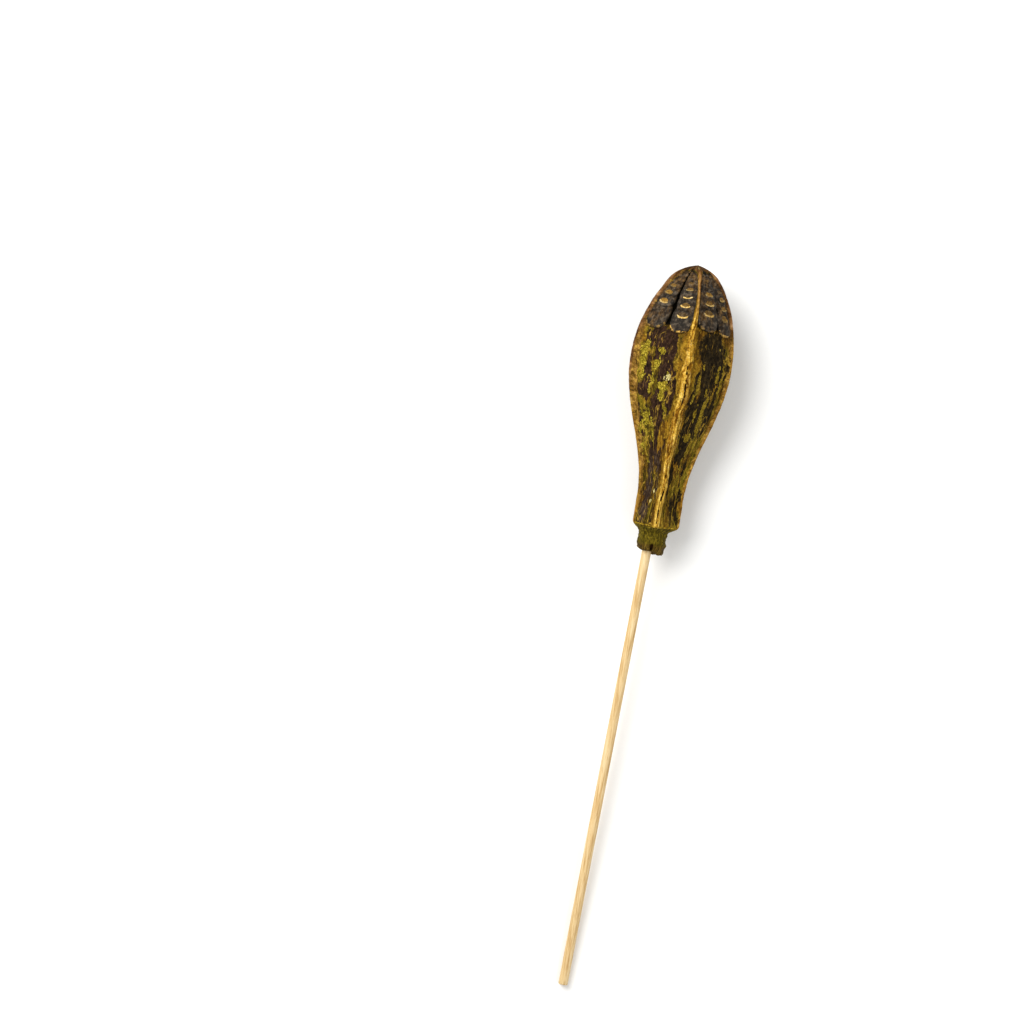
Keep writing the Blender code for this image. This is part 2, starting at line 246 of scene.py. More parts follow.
class PodColours(bpy.types.PropertyGroup):
    """Colours of the weathered pod and of its stick"""

    gold: bpy.props.StringProperty(name="Gold", description="Corky ribs, as sRGB hex", default="AC8028")
    olive: bpy.props.StringProperty(name="Olive", description="Faces, as sRGB hex", default="7C6C1C")
    stain: bpy.props.StringProperty(name="Stain", description="Dark patches, as sRGB hex", default="2A1B11")
    scale: bpy.props.StringProperty(name="Scale", description="Seed scales, as sRGB hex", default="2C251D")
    stick: bpy.props.StringProperty(name="Stick", description="Stick, as sRGB hex", default="DCC08E")


class StageSettings(bpy.types.PropertyGroup):
    """The floor, the lights and the camera"""

    floor_colour: bpy.props.StringProperty(name="Floor", description="Floor, as sRGB hex", default="FAFAF8")
    lens: bpy.props.FloatProperty(name="Lens", description="Focal length in millimetres", default=200.0)
    view_width: bpy.props.FloatProperty(
        name="View width", description="Width of the view at the pod", default=0.512, unit="LENGTH")
    roll: bpy.props.FloatProperty(
        name="Roll", description="Turn of the picture about its middle", default=math.radians(8.66),
        subtype="ANGLE")


def linear(hex_colour, alpha=1.0):
    """An sRGB hex colour as linear values."""
    parts = [int(hex_colour[i : i + 2], 16) / 255 for i in (0, 2, 4)]
    return (*[p / 12.92 if p <= 0.04045 else ((p + 0.055) / 1.055) ** 2.4 for p in parts], alpha)


def add_node(tree, kind, inputs=(), stops=None, output=0, **settings):
    """Adds a node with its settings, inputs as values or links, and ramp stops as hex. Returns one output."""
    full_names = ("Geometry", "Function", "NodeGroup")
    node = tree.nodes.new(kind if kind.startswith(full_names) else "ShaderNode" + kind)
    for name, value in settings.items():
        setattr(node, name, value)
    for socket, value in inputs.items() if isinstance(inputs, dict) else enumerate(inputs):
        if isinstance(value, bpy.types.NodeSocket):
            tree.links.new(value, node.inputs[socket])
        else:
            is_hex = isinstance(value, str) and len(value) == 6
            node.inputs[socket].default_value = linear(value) if is_hex else value
    if stops:
        ramp = node.color_ramp.elements
        while len(ramp) < len(stops):
            ramp.new(0.5)
        for element, (position, colour) in zip(ramp, stops):
            element.position = position
            element.color = linear(colour)
    return node if output is None else node.outputs[output]


def new_material(name):
    """An empty material, and a short way to add nodes to it."""
    material = bpy.data.materials.new(name)
    material.use_nodes = True
    material.node_tree.nodes.clear()
    return material, partial(add_node, material.node_tree)


def finish_material(add, colour, roughness, height, bump_distance, bump_strength, specular):
    """Joins colour, roughness and height to one shader and the output."""
    bump = add("Bump", {"Strength": bump_strength, "Distance": bump_distance, "Height": height})
    shader = add("BsdfPrincipled", {
        "Base Color": colour, "Roughness": roughness, "Normal": bump, "Specular IOR Level": specular})
    add("OutputMaterial", {"Surface": shader}, output=None)


def grain_patterns(add, vector, axis, *rows):
    """Noise patterns: size in mm, scale along the grain's axis, detail and roughness of each."""
    patterns = []
    for size, stretch, detail, rough in rows:
        scale = [1.0, 1.0, 1.0]
        scale[axis] = stretch
        stretched = add("Mapping", {"Vector": vector, "Scale": scale})
        patterns.append(add("TexNoise", {
            "Vector": stretched, "Scale": 1 / (size * MM), "Detail": detail, "Roughness": rough}))
    return patterns


def torn_edges(add, fact, *rows):
    """Shares of facts whose edges a pattern tears.

    Each row is the fact, the pattern, its weight, where the share starts and is full, and its most.
    """
    shares = {}
    for name, pattern, weight, start, full, most in rows:
        level = add("Math", (pattern, weight, fact[name]), operation="MULTIPLY_ADD")
        shares[name] = add("MapRange", {"Value": level, "From Min": start, "From Max": full, "To Max": most})
    return shares


def lay_coats(add, colour, *coats):
    """Lays coats over a colour.

    Each is a share and a colour, or what drives it, where it starts and is full, its most, and a colour.
    """
    for share, *span, coat in coats:
        if span:
            start, full, most = span
            share = add("MapRange", {"Value": share, "From Min": start, "From Max": full, "To Max": most})
        colour = add("Mix", {0: share, 6: colour, 7: coat}, data_type="RGBA", output=2)
    return colour


CORE_FACTS = (
    "rib", "flank", "margin", "stain", "lichen", "flake_and_glint", "crack", "crown", "stub", "rim", "dark_side",
    "strand", "brown_rib", "grey", "crown_margin")


def pod_wood():
    """Weathered corky fruit wood: gold ribs, olive to brown faces with dark stains, dry and nearly matt.
    Painted highlights lie on the ribs' pale ridges and one glint on the tip; painted shade darkens the
    cracks, the crevice and bed of the scales, and part of one stain beside the front rib.
    """
    colours = bpy.context.scene.pod_colours
    material, add = new_material("weathered_corky_pod_wood")
    along = add("Attribute", attribute_name="grain_place", output="Vector")
    fact = {name: add("Attribute", attribute_name=name, output="Fac") for name in CORE_FACTS}

    # The patterns are bent by about 1 mm so that no streak is straight
    bend = add("TexNoise", {"Vector": along, "Scale": 1 / (5 * MM), "Detail": 4.0}, output="Color")
    offset = add("VectorMath", {0: bend, 1: (0.5, 0.5, 0.5)}, operation="SUBTRACT")
    offset = add("VectorMath", {0: offset, "Scale": 3.2 * MM}, operation="SCALE")
    warped = add("VectorMath", (along, offset), operation="ADD")
    streaks, hairs, clouds, specks, mottle, blotch, islands, veins, lumps, strands = grain_patterns(
        add, warped, 2, (2.4, 0.20, 7.0, 0.68), (0.75, 0.05, 3.0, 0.6), (11, 1.0, 4.0, 0.55),
        (0.60, 0.8, 2.0, 0.7), (1.5, 0.6, 4.0, 0.7), (3.2, 0.5, 8.0, 0.66), (2.4, 0.8, 7.0, 0.66),
        (5.0, 0.22, 2.0, 0.5), (2.2, 1.0, 6.0, 0.7), (0.85, 0.09, 4.0, 0.65))

    # The neck is greyer, and its edges have the long grain instead of the mottle
    shade = add("Math", (fact["grey"], -0.075, streaks), operation="MULTIPLY_ADD")
    grain = add("Mix", {0: fact["grey"], 2: mottle, 3: streaks}, data_type="FLOAT")
    ramp = {
        name: add("ValToRGB", (value,), stops=stops) for name, value, stops in (
            ("brown", shade, (
                (0.32, "2A1906"), (0.43, "4A310D"), (0.52, "6E4C12"), (0.60, "8C681A"),
                (0.70, "B0872A"))),
            ("green", shade, (
                (0.32, "2A2207"), (0.43, "473B0C"), (0.52, "625310"), (0.60, colours.olive),
                (0.70, "98822A"))),
            ("gold_brown", streaks, ((0.32, "422C06"), (0.43, "60450A"), (0.53, "755410"), (0.66, "8E6A1A"))),
            ("old", streaks, ((0.34, "2A1708"), (0.46, "553413"), (0.56, "855A2C"), (0.68, "B0874C"))),
            ("husk", streaks, ((0.34, "2A180D"), (0.46, "52351B"), (0.56, "7D5834"), (0.68, "AC8860"))),
            ("tan", grain, ((0.33, "46300F"), (0.43, "674916"), (0.53, "84602A"), (0.66, "B38B44"))),
            ("brown_stain", mottle, ((0.36, "150D08"), (0.50, colours.stain), (0.68, "432F22"))),
            ("black_stain", mottle, ((0.36, "110C05"), (0.50, "20180B"), (0.68, "3E321A"))),
            ("grey_stain", mottle, ((0.36, "201612"), (0.50, "392C22"), (0.66, "5E503F"))),
            ("island", specks, ((0.34, "44370D"), (0.45, "756516"), (0.56, "8C7A20"), (0.70, "B49F3A"))),
            # The cork ramp's palest stops are partly painted highlight on the strands
            ("cork", strands, (
                (0.36, "4C2E06"), (0.44, "7E550E"), (0.50, colours.gold), (0.57, "C69A34"),
                (0.65, "E6C468"))),
            ("flake_and_glint", specks, ((0.38, "85753A"), (0.50, "A99B5A"), (0.62, "CABD84"))),
            ("rim", specks, ((0.34, "5E490D"), (0.52, "94781A"), (0.68, "C4A133"))),
            # Nearly black: painted shade in the crevice and the bed under the scales
            ("bed", streaks, ((0.36, "0A0905"), (0.54, "17130B"), (0.72, "352912"))),
            ("bark", lumps, (
                (0.32, "1C1805"), (0.43, "3F360A"), (0.53, "5E5012"), (0.62, "7C6A1B"),
                (0.74, "A58F32"))),
            ("bark_end", mottle, ((0.36, "1E1506"), (0.50, "4C3A12"), (0.66, "7C6326"))),
        )
    }
    share = torn_edges(
        add, fact, ("flank", mottle, 1.6, 1.05, 1.45, 0.75), ("margin", blotch, 1.6, 1.10, 1.40, 0.9),
        ("stain", blotch, 2.4, 1.58, 1.68, 1.0), ("lichen", islands, 2.8, 1.90, 1.98, 1.0),
        ("rib", blotch, 1.1, 0.96, 1.16, 1.0), ("flake_and_glint", islands, 2.6, 1.98, 2.10, 1.0),
        ("rim", blotch, 2.0, 1.62, 1.85, 0.9), ("crack", hairs, 0.9, 0.92, 1.12, 1.0))
    stub_share = add("MapRange", {"Value": fact["stub"], "From Min": 0.30, "From Max": 0.55})
    film = clouds
    for name, weight in (("flank", -0.22), ("grey", -0.10), ("dark_side", -0.04)):
        film = add("Math", (fact[name], weight, film), operation="MULTIPLY_ADD")
    inner = add("Math", (fact["margin"], -0.6375, 0.85), operation="MULTIPLY_ADD")
    vein = add("Math", (veins, 0.5), operation="SUBTRACT")
    vein = add("Math", (vein,), operation="ABSOLUTE")
    vein_most = add("MapRange", {"Value": clouds, "From Min": 0.46, "From Max": 0.56, "To Max": 0.85})

    gold_brown = lay_coats(add, ramp["gold_brown"], (fact["brown_rib"], 0, 1, 0.8, "5E3C16"))
    stain = lay_coats(
        add, ramp["brown_stain"], (fact["dark_side"], ramp["black_stain"]),
        (fact["grey"], 0, 1, 0.7, ramp["grey_stain"]))
    island = lay_coats(add, ramp["island"], (fact["dark_side"], 0, 1, 0.42, "6A4C12"))
    old = lay_coats(add, ramp["old"], (fact["margin"], ramp["husk"]))
    bark = lay_coats(add, ramp["bark"], (fact["stub"], 1.2, 1.9, 1.0, ramp["bark_end"]))

    # Corky ribs: worn brown, pitted, with pale strands and darker dips between them, and old near the tip.
    # The strands' paleness is partly a painted highlight on their ridges, and the dips' darkness is painted
    # shade.
    cork = lay_coats(
        add, ramp["cork"], (streaks, 0.50, 0.38, 0.6, "74500E"), (mottle, 0.45, 0.36, 0.85, "4A2B0A"),
        # Pale where the strands stand high, a painted highlight on the ridges, and darker where they are low,
        # painted shade in the dips
        (fact["strand"], 0.66, 0.95, 0.5, "E9C353"), (fact["strand"], 0.20, 0.02, 0.5, "80520D"),
        (specks, 0.42, 0.34, 0.6, "5C390D"), (fact["strand"], 1.0, 1.3, 0.6, "F0D272"),
        (fact["margin"], 0, 1, 0.6, ramp["tan"]), (fact["brown_rib"], old))

    # Faces: olive film over brown, gold beside the front rib and tan beside the others, mottled
    face = lay_coats(
        add, ramp["brown"], (film, 0.36, 0.54, 1.0, ramp["green"]), (share["flank"], gold_brown),
        (share["margin"], ramp["tan"]), (fact["crown_margin"], ramp["husk"]),
        (mottle, 0.56, 0.66, 0.6, "B8922E"), (mottle, 0.45, 0.37, inner, "221709"))
    # Dark stains, one of them partly painted shade beside the front rib, with islands of yellow-green film,
    # pale fibres, scratches and veins that follow the pod
    face = lay_coats(
        add, face, (share["stain"], stain), (share["lichen"], island), (hairs, 0.64, 0.70, 0.7, "A9802E"),
        (hairs, 0.38, 0.32, 0.7, "221608"), (vein, 0.016, 0.006, vein_most, "A07F2D"))
    # The ribs, pale flakes with one painted glint on the tip, the collar's rim, the bed of the scales, the
    # stub and the cracks; the bed, the crevice and the cracks are dark as painted shade
    face = lay_coats(
        add, face, (share["rib"], cork), (share["flake_and_glint"], ramp["flake_and_glint"]), (share["rim"], ramp["rim"]),
        (fact["crown"], ramp["bed"]), (stub_share, bark), (share["crack"], "241305"))
    # A fine fleck of lighter and darker cells over everything
    fleck = add("MapRange", {
        "Value": specks, "From Min": 0.35, "From Max": 0.65, "To Min": 0.70, "To Max": 1.34})
    face = add("VectorMath", {0: face, "Scale": fleck}, operation="SCALE")

    roughness = add("MapRange", {
        "Value": streaks, "From Min": 0.3, "From Max": 0.7, "To Min": 0.50, "To Max": 0.76})
    bare = add("Math", (1.0, stub_share), operation="SUBTRACT")
    fine_hairs = add("Math", (hairs, bare), operation="MULTIPLY")
    height = add("Mix", {0: stub_share, 2: streaks, 3: lumps}, data_type="FLOAT")
    for value, weight in (
        (specks, 0.30), (mottle, 0.60), (fine_hairs, 0.35), (share["stain"], -0.12), (share["lichen"], 0.22),
        (share["crack"], -0.6),
    ):
        height = add("Math", (value, weight, height), operation="MULTIPLY_ADD")
    finish_material(add, face, roughness, height, 0.6 * MM, 0.85, 0.03)
    return material


SCALE_FACTS = ("scar", "crescent", "lip", "side", "tint", "scar_fill", "scar_lip", "lip_show", "brown")


def scale_wood():
    """Seed scales: hard charcoal-dark tissue, slightly glossy, with tan seed scars and a gold torn lip. Each
    scar's gold lower rim carries a painted highlight, and the scale's sides are darkened with painted shade.
    """
    colours = bpy.context.scene.pod_colours
    material, add = new_material("charcoal_seed_scale")
    coords = add("TexCoord", output="Object")
    fact = {name: add("Attribute", attribute_name=name, output="Fac") for name in SCALE_FACTS}
    streaks, grains, areas, chips, tears = grain_patterns(
        add, coords, 1, (1.5, 0.3, 6.0, 0.62), (0.5, 1.0, 3.0, 0.62), (4.0, 1.0, 4.0, 0.62),
        (1.8, 1.0, 3.0, 0.62), (2.6, 1.0, 3.0, 0.62))
    ramp = {
        name: add("ValToRGB", (value,), stops=stops) for name, value, stops in (
            ("body", streaks, ((0.32, "0E0B07"), (0.50, colours.scale), (0.68, "4C4236"))),
            ("brown", streaks, ((0.34, "21170B"), (0.50, "453016"), (0.66, "7C5C2E"))),
            ("scar", grains, ((0.34, "4E3612"), (0.50, "8A6424"), (0.66, "C0963E"))),
            # The crescent is the scar's gold lower rim, and its palest stops are a painted highlight
            ("crescent", grains, ((0.36, "A87A2A"), (0.50, "D4AA50"), (0.64, "F4DDA0"))),
            ("lip", grains, ((0.34, "7A5018"), (0.48, "C28E36"), (0.62, "F0CB74"))),
        )
    }
    share = torn_edges(
        add, fact, ("scar", streaks, 0.9, 0.80, 1.0, fact["scar_fill"]),
        ("crescent", grains, 0.3, 0.56, 0.74, fact["scar_lip"]),
        ("lip", tears, 2.4, 2.16, 2.28, fact["lip_show"]))
    level = add("Math", (fact["tint"], 0.22, areas), operation="MULTIPLY_ADD")
    level = add("Math", (fact["brown"], 0.50, level), operation="MULTIPLY_ADD")
    body = lay_coats(
        add, ramp["body"], (level, 0.58, 0.80, 0.75, ramp["brown"]), (chips, 0.52, 0.66, 0.60, "6A5E4E"),
        (chips, 0.46, 0.36, 0.7, "0D0B08"), (grains, 0.60, 0.70, 0.35, "5A544C"),
        # Painted shade: each scale's sides are darkened nearly to black where the rows sink into the crevice
        (fact["side"], 0, 1, 0.85, "0C0A07"), (share["scar"], ramp["scar"]),
        (share["crescent"], ramp["crescent"]), (share["lip"], ramp["lip"]))
    roughness = add("MapRange", {
        "Value": streaks, "From Min": 0.3, "From Max": 0.7, "To Min": 0.38, "To Max": 0.64})
    height = add("Math", (grains, 0.5, streaks), operation="MULTIPLY_ADD")
    finish_material(add, body, roughness, height, 0.35 * MM, 0.8, 0.07)
    return material


def fibre_wood():
    """Loose dry fibres torn from the ribs: pale straw, matt."""
    material, add = new_material("dry_torn_fibre")
    coords = add("TexCoord", output="Object")
    value = add("TexNoise", {"Vector": coords, "Scale": 1 / (2 * MM), "Detail": 3.0})
    colour = add("ValToRGB", (value,), stops=((0.34, "6A4616"), (0.50, "A87A2E"), (0.64, "DDBE7C")))
    roughness = add("MapRange", {"Value": value, "To Min": 0.6, "To Max": 0.85})
    finish_material(add, colour, roughness, value, 0.1 * MM, 0.5, 0.2)
    return material


def stick_wood():
    """Turned pale hardwood dowel: cream, with fine straight grain and a soft sanded sheen."""
    colours = bpy.context.scene.pod_colours
    material, add = new_material("sanded_pale_dowel")
    coords = add("TexCoord", output="Object")
    ends = add("Attribute", attribute_name="end_grain", output="Fac")
    grain, pores, drift = grain_patterns(
        add, coords, 1, (0.9, 0.018, 6.0, 0.6), (0.35, 0.06, 3.0, 0.6), (6, 0.12, 4.0, 0.6))
    colour = add("ValToRGB", (grain,), stops=(
        (0.32, "B38B56"), (0.44, "CCAB76"), (0.54, colours.stick), (0.70, "E8D2A6")))
    colour = lay_coats(
        add, colour, (pores, 0.42, 0.30, 0.5, "A87C42"), (drift, 0.50, 0.68, 0.4, "D9B279"), (ends, "B98F55"))
    roughness = add("MapRange", {
        "Value": grain, "From Min": 0.3, "From Max": 0.7, "To Min": 0.48, "To Max": 0.64})
    height = add("Math", (grain, pores), operation="ADD")
    finish_material(add, colour, roughness, height, 0.12 * MM, 0.5, 0.04)
    return material


def floor_paper():
    """Smooth matt white card, with a tooth too fine to read as a pattern."""
    settings = bpy.context.scene.stage_settings
    material, add = new_material("matt_white_card")
    coords = add("TexCoord", output="Object")
    tooth = add("TexNoise", {"Vector": coords, "Scale": 1 / (2 * MM), "Detail": 2.0})
    colour = add("ValToRGB", (tooth,), stops=((0.0, "F8F8F6"), (1.0, settings.floor_colour)))
    roughness = add("MapRange", {"Value": tooth, "To Min": 0.82, "To Max": 0.92})
    finish_material(add, colour, roughness, tooth, 0.02 * MM, 0.2, 0.2)
    return material


def place_object(name, data):
    """An object at the origin, in the scene."""
    placed = bpy.data.objects.new(name, data)
    bpy.context.scene.collection.objects.link(placed)
    return placed


def plain_mesh(holder):
    """What an object comes to with its modifiers, as a plain mesh. The object goes."""
    mesh = bpy.data.meshes.new_from_object(holder.evaluated_get(bpy.context.evaluated_depsgraph_get()))
    bpy.data.objects.remove(holder)
    return mesh


def face_outwards(piece):
    """Turns a closed piece's faces outwards."""
    shape = bmesh.new()
    shape.from_mesh(piece.data)
    bmesh.ops.recalc_face_normals(shape, faces=shape.faces)
    shape.to_mesh(piece.data)
    shape.free()


def make_piece(name, points, faces, material, attributes):
    """A mesh object at the origin, with its own attributes and material."""
    mesh = bpy.data.meshes.new(name)
    mesh.from_pydata([tuple(point) for point in points], [], faces)
    for key, values in attributes.items():
        values = np.asarray(values, dtype=np.float32)
        kind, field = ("FLOAT_VECTOR", "vector") if values.ndim == 2 else ("FLOAT", "value")
        mesh.attributes.new(key, kind, "POINT").data.foreach_set(field, values.ravel())
    mesh.materials.append(material)
    mesh.shade_smooth()
    mesh.update()
    return place_object(name, mesh)


def grid_faces(rings, columns, first_pole, last_pole):
    """The faces of a closed form of rings, with a pole point at each end."""
    faces = []
    for ring in range(rings - 1):
        here, below = ring * columns, (ring + 1) * columns
        for column in range(columns):
            right = (column + 1) % columns
            faces.append((here + column, below + column, below + right, here + right))
    last = (rings - 1) * columns
    for column in range(columns):
        right = (column + 1) % columns
        faces.append((first_pole, column, right))
        faces.append((last_pole, last + right, last + column))
    return faces


# Below the collar: station in mm, radius in mm, roundness. The stub's torn end and the hole follow.
BASE_OUTLINE = (
    (128.0, 12.4, 0.02), (129.0, 12.15, 0.06), (129.6, 11.8, 0.10), (130.2, 11.3, 0.18), (130.8, 10.6, 0.30),
    (131.4, 9.8, 0.50), (132.1, 8.8, 0.80), (132.9, 7.9, 0.95), (134.2, 7.2, 1.0), (137.0, 7.1, 1.0),
    (140.5, 7.2, 1.0), (143.0, 6.9, 1.0), (144.4, 6.5, 1.0), (145.2, 5.9, 1.0), (145.4, 4.6, 1.0),
    (145.1, 3.4, 1.0), (144.7, 2.75, 1.0), (143.6, 2.66, 1.0), (124.0, 2.66, 1.0),
)
BASE_PITCH = 0.5
HOLE_RINGS = 5
# Where these start, as places in BASE_OUTLINE: the flat under the rim, the end of the rim's tint, the torn
# end, the level bottom, the turn into the hole, its lip, and the hole
RIM_FLAT, RIM_LIMIT, TORN_START, LEVEL_START, HOLE_TURN, HOLE_LIP, HOLE_START = 4, 8, 10, 11, 13, 14, 15
STICK_OFFSET = -2.4 * MM
STICK_LEAN = math.radians(2.2)
STUB_END = 145.2 * MM
NOTCH_ANGLE, NOTCH_HALF_WIDTH = math.radians(3), math.radians(8)
DRUM_RADIUS = 20 * MM
# The station in mm where the collar's rim turns into its underside
RIM_END = 129.7


def base_rings():
    """The rings of BASE_OUTLINE at an even pitch: station, radius, roundness and place in the list."""
    table = np.array(BASE_OUTLINE)
    steps = np.hypot(np.diff(table[:, 0]), np.diff(table[:, 1]))
    travel = np.concatenate([[0], np.cumsum(steps)])
    outside = np.arange(0.0, travel[-2], BASE_PITCH)[1:]
    at = np.concatenate([outside, np.linspace(travel[-2], travel[-1], HOLE_RINGS)])
    filled = [np.interp(at, travel, table[:, i]) for i in range(3)]
    return filled[0] * MM, filled[1] * MM, filled[2], np.interp(at, travel, np.arange(len(table)))


def body_rings(pitch):
    """Stations from the tip to the collar, evenly spaced along the rib."""
    fine = np.linspace(0, 1, 4000) ** 2 * COLLAR_STATION
    travel = np.concatenate([[0], np.cumsum(np.hypot(np.diff(fine), np.diff(rib_radius(fine))))])
    count = int(travel[-1] / pitch)
    return np.interp(np.linspace(0, travel[-1], count + 1)[1:], travel, fine)


def column_turns(columns):
    """Turns of the columns, closer together at the ribs than in the middle of a face."""
    share = np.arange(columns) / columns * 5
    return share - 0.42 * np.sin(share * 2 * math.pi) / (2 * math.pi)


# Where the crevice between two rows of scales is on each face, from one rib to the next
CREVICE_PLACES = (0.585, 0.5, 0.5, 0.5, 0.51)
CREVICE_WIDTHS = (0.6, 1.0, 1.0, 1.0, 1.25)

# Stains, and one patch partly painted shade: face, place on it, station in mm, half-width in mm, half-length
# in mm, strength
STAINS_AND_SHADE = (
    (4, 0.61, 43, 6.6, 9.0, 1.05), (4, 0.42, 38, 7.5, 5.0, 1.0), (4, 0.66, 55, 5.2, 7.0, 1.05),
    (4, 0.80, 64, 1.9, 11, 1.0), (4, 0.30, 60, 2.6, 12, 0.9), (4, 0.26, 65, 4.3, 3.2, 0.95),
    (4, 0.54, 74, 4.2, 7.5, 1.0), (4, 0.16, 84, 1.7, 5.0, 0.85), (4, 0.57, 90, 1.3, 12, 0.85),
    (4, 0.40, 104, 1.6, 15, 1.05), (4, 0.33, 114, 2.3, 6.0, 0.92),
    (4, 0.27, 123, 2.6, 4.6, 1.0), (4, 0.79, 112, 0.8, 15, 0.48),
    (4, 0.72, 100, 1.4, 10, 0.48), (4, 0.80, 97, 1.2, 8.0, 0.48), (4, 0.70, 112, 1.4, 11, 0.47),
    (4, 0.17, 55, 0.8, 6.0, 0.60), (4, 0.11, 72, 0.7, 5.0, 0.55),
    (0, 0.52, 42, 8.2, 10, 1.1), (0, 0.47, 56, 6.8, 9.0, 1.05), (0, 0.50, 74, 5.4, 13, 1.05),
    # On the first face, the patch at place 0.26 and station 76 is a dark stain and also painted shade of the
    # shadow side right of the front rib
    (0, 0.26, 76, 2.4, 14, 0.95), (0, 0.77, 76, 3.8, 6.5, 0.95), (0, 0.93, 50, 1.4, 6.0, 0.9),
    (0, 0.79, 60, 1.6, 14, 0.85), (0, 0.40, 94, 3.6, 6.5, 0.95), (0, 0.20, 108, 1.2, 10, 0.7),
    (0, 0.73, 104, 1.2, 8, 0.75), (0, 0.54, 121, 3.6, 6.0, 0.62), (0, 0.86, 119, 1.2, 7.0, 0.85),
    (1, 0.45, 46, 7.0, 12, 1.05), (1, 0.60, 72, 4.6, 14, 0.95), (1, 0.35, 98, 3.2, 14, 0.9),
    (2, 0.55, 50, 6.4, 14, 1.0), (2, 0.40, 82, 4.4, 14, 0.95), (2, 0.50, 114, 3.2, 10, 0.9),
    (3, 0.50, 44, 7.0, 12, 1.05), (3, 0.38, 70, 4.6, 13, 0.95), (3, 0.60, 99, 3.6, 13, 0.9),
)

# Films of yellow-green, in the same terms
FILMS = (
    (4, 0.21, 47, 2.8, 6.0, 1.0), (4, 0.17, 57, 2.8, 3.4, 0.95), (4, 0.54, 44, 2.0, 1.7, 1.0),
    (4, 0.51, 49, 0.9, 3.0, 0.95), (4, 0.46, 52, 1.5, 2.0, 1.0), (4, 0.41, 59, 1.0, 2.8, 0.95),
    (4, 0.36, 63, 1.0, 3.4, 0.9), (4, 0.70, 58, 1.0, 3.2, 0.9), (4, 0.62, 62, 2.6, 2.6, 1.05),
    (4, 0.60, 67, 2.2, 3.0, 1.0), (4, 0.29, 79, 2.6, 4.0, 0.9), (4, 0.21, 84, 2.0, 4.0, 0.85),
    (4, 0.45, 83, 1.2, 5.0, 0.75), (4, 0.09, 88, 1.6, 8.0, 0.40), (4, 0.22, 98, 1.4, 8.0, 0.38),
    (0, 0.35, 49, 0.7, 2.4, 0.95), (0, 0.28, 60, 0.9, 5.0, 0.9), (0, 0.23, 66, 0.8, 3.4, 0.9),
    (0, 0.52, 62, 1.1, 3.0, 0.95), (0, 0.59, 70, 1.2, 6.5, 1.0), (0, 0.62, 78, 1.4, 5.0, 1.0),
    (0, 0.73, 53, 0.8, 4.0, 0.85), (0, 0.84, 56, 0.9, 9.0, 0.85), (0, 0.42, 86, 2.2, 2.0, 0.75),
    (0, 0.59, 90, 1.4, 4.0, 0.75), (0, 0.53, 108, 2.4, 9.0, 0.5), (0, 0.40, 74, 0.6, 6.0, 0.85),
    (0, 0.68, 84, 0.8, 5.0, 0.8), (0, 0.80, 112, 1.0, 9.0, 0.45),
    (1, 0.40, 56, 1.6, 7, 0.95), (1, 0.62, 92, 1.6, 7, 0.9), (1, 0.30, 70, 1.2, 7, 0.85),
    (1, 0.55, 66, 0.9, 6, 0.9), (2, 0.50, 62, 1.8, 8, 0.95), (2, 0.34, 92, 1.3, 7, 0.85),
    (2, 0.60, 76, 1.0, 6, 0.9), (3, 0.46, 54, 1.9, 8, 0.95), (3, 0.55, 84, 1.5, 7, 0.9),
    (3, 0.34, 62, 1.0, 6, 0.9),
)

# Pale flakes of dried skin, in the same terms. The second, a pale dot at station 2.3, is a painted glint on
# the tip.
FLAKES_AND_GLINT = (
    (4, 0.71, 57.5, 2.4, 1.6, 1.05), (4, 0.93, 2.3, 0.5, 0.6, 1.3), (4, 0.13, 76, 0.3, 0.7, 0.9),
    (4, 0.61, 114, 0.6, 1.0, 1.0), (4, 0.58, 118, 0.6, 1.2, 0.95), (0, 0.22, 21, 0.3, 0.9, 0.8),
    (1, 0.4, 60, 0.8, 0.7, 1.0), (2, 0.6, 72, 0.7, 0.9, 1.0), (3, 0.5, 58, 0.7, 0.8, 1.0),
)


def patches(table, face, place, station, side_width, bent):
    """The strongest of a table's patches at each point. The patches are ovals whose outline wanders."""
    place = place + 1.0 * MM * soft_noise(bent, 2.4 * MM, 61) / side_width
    station = station + 1.5 * MM * soft_noise(bent, 3.0 * MM, 62)
    level = np.zeros_like(station)
    for number, centre, middle, half_width, half_length, strength in table:
        across = (place - centre) * side_width / (half_width * MM)
        down = (station - middle * MM) / (half_length * MM)
        value = strength * np.exp(-((across**2 + down**2) ** 1.5) * 0.5)
        level = np.where(face == number, np.maximum(level, value), level)
    return level


def drum_place(turn, station):
    """A place on a plain drum, which the grain and the patterns follow."""
    angle = turn / 5 * 2 * math.pi
    return np.stack([DRUM_RADIUS * np.cos(angle), DRUM_RADIUS * np.sin(angle), station], axis=-1)


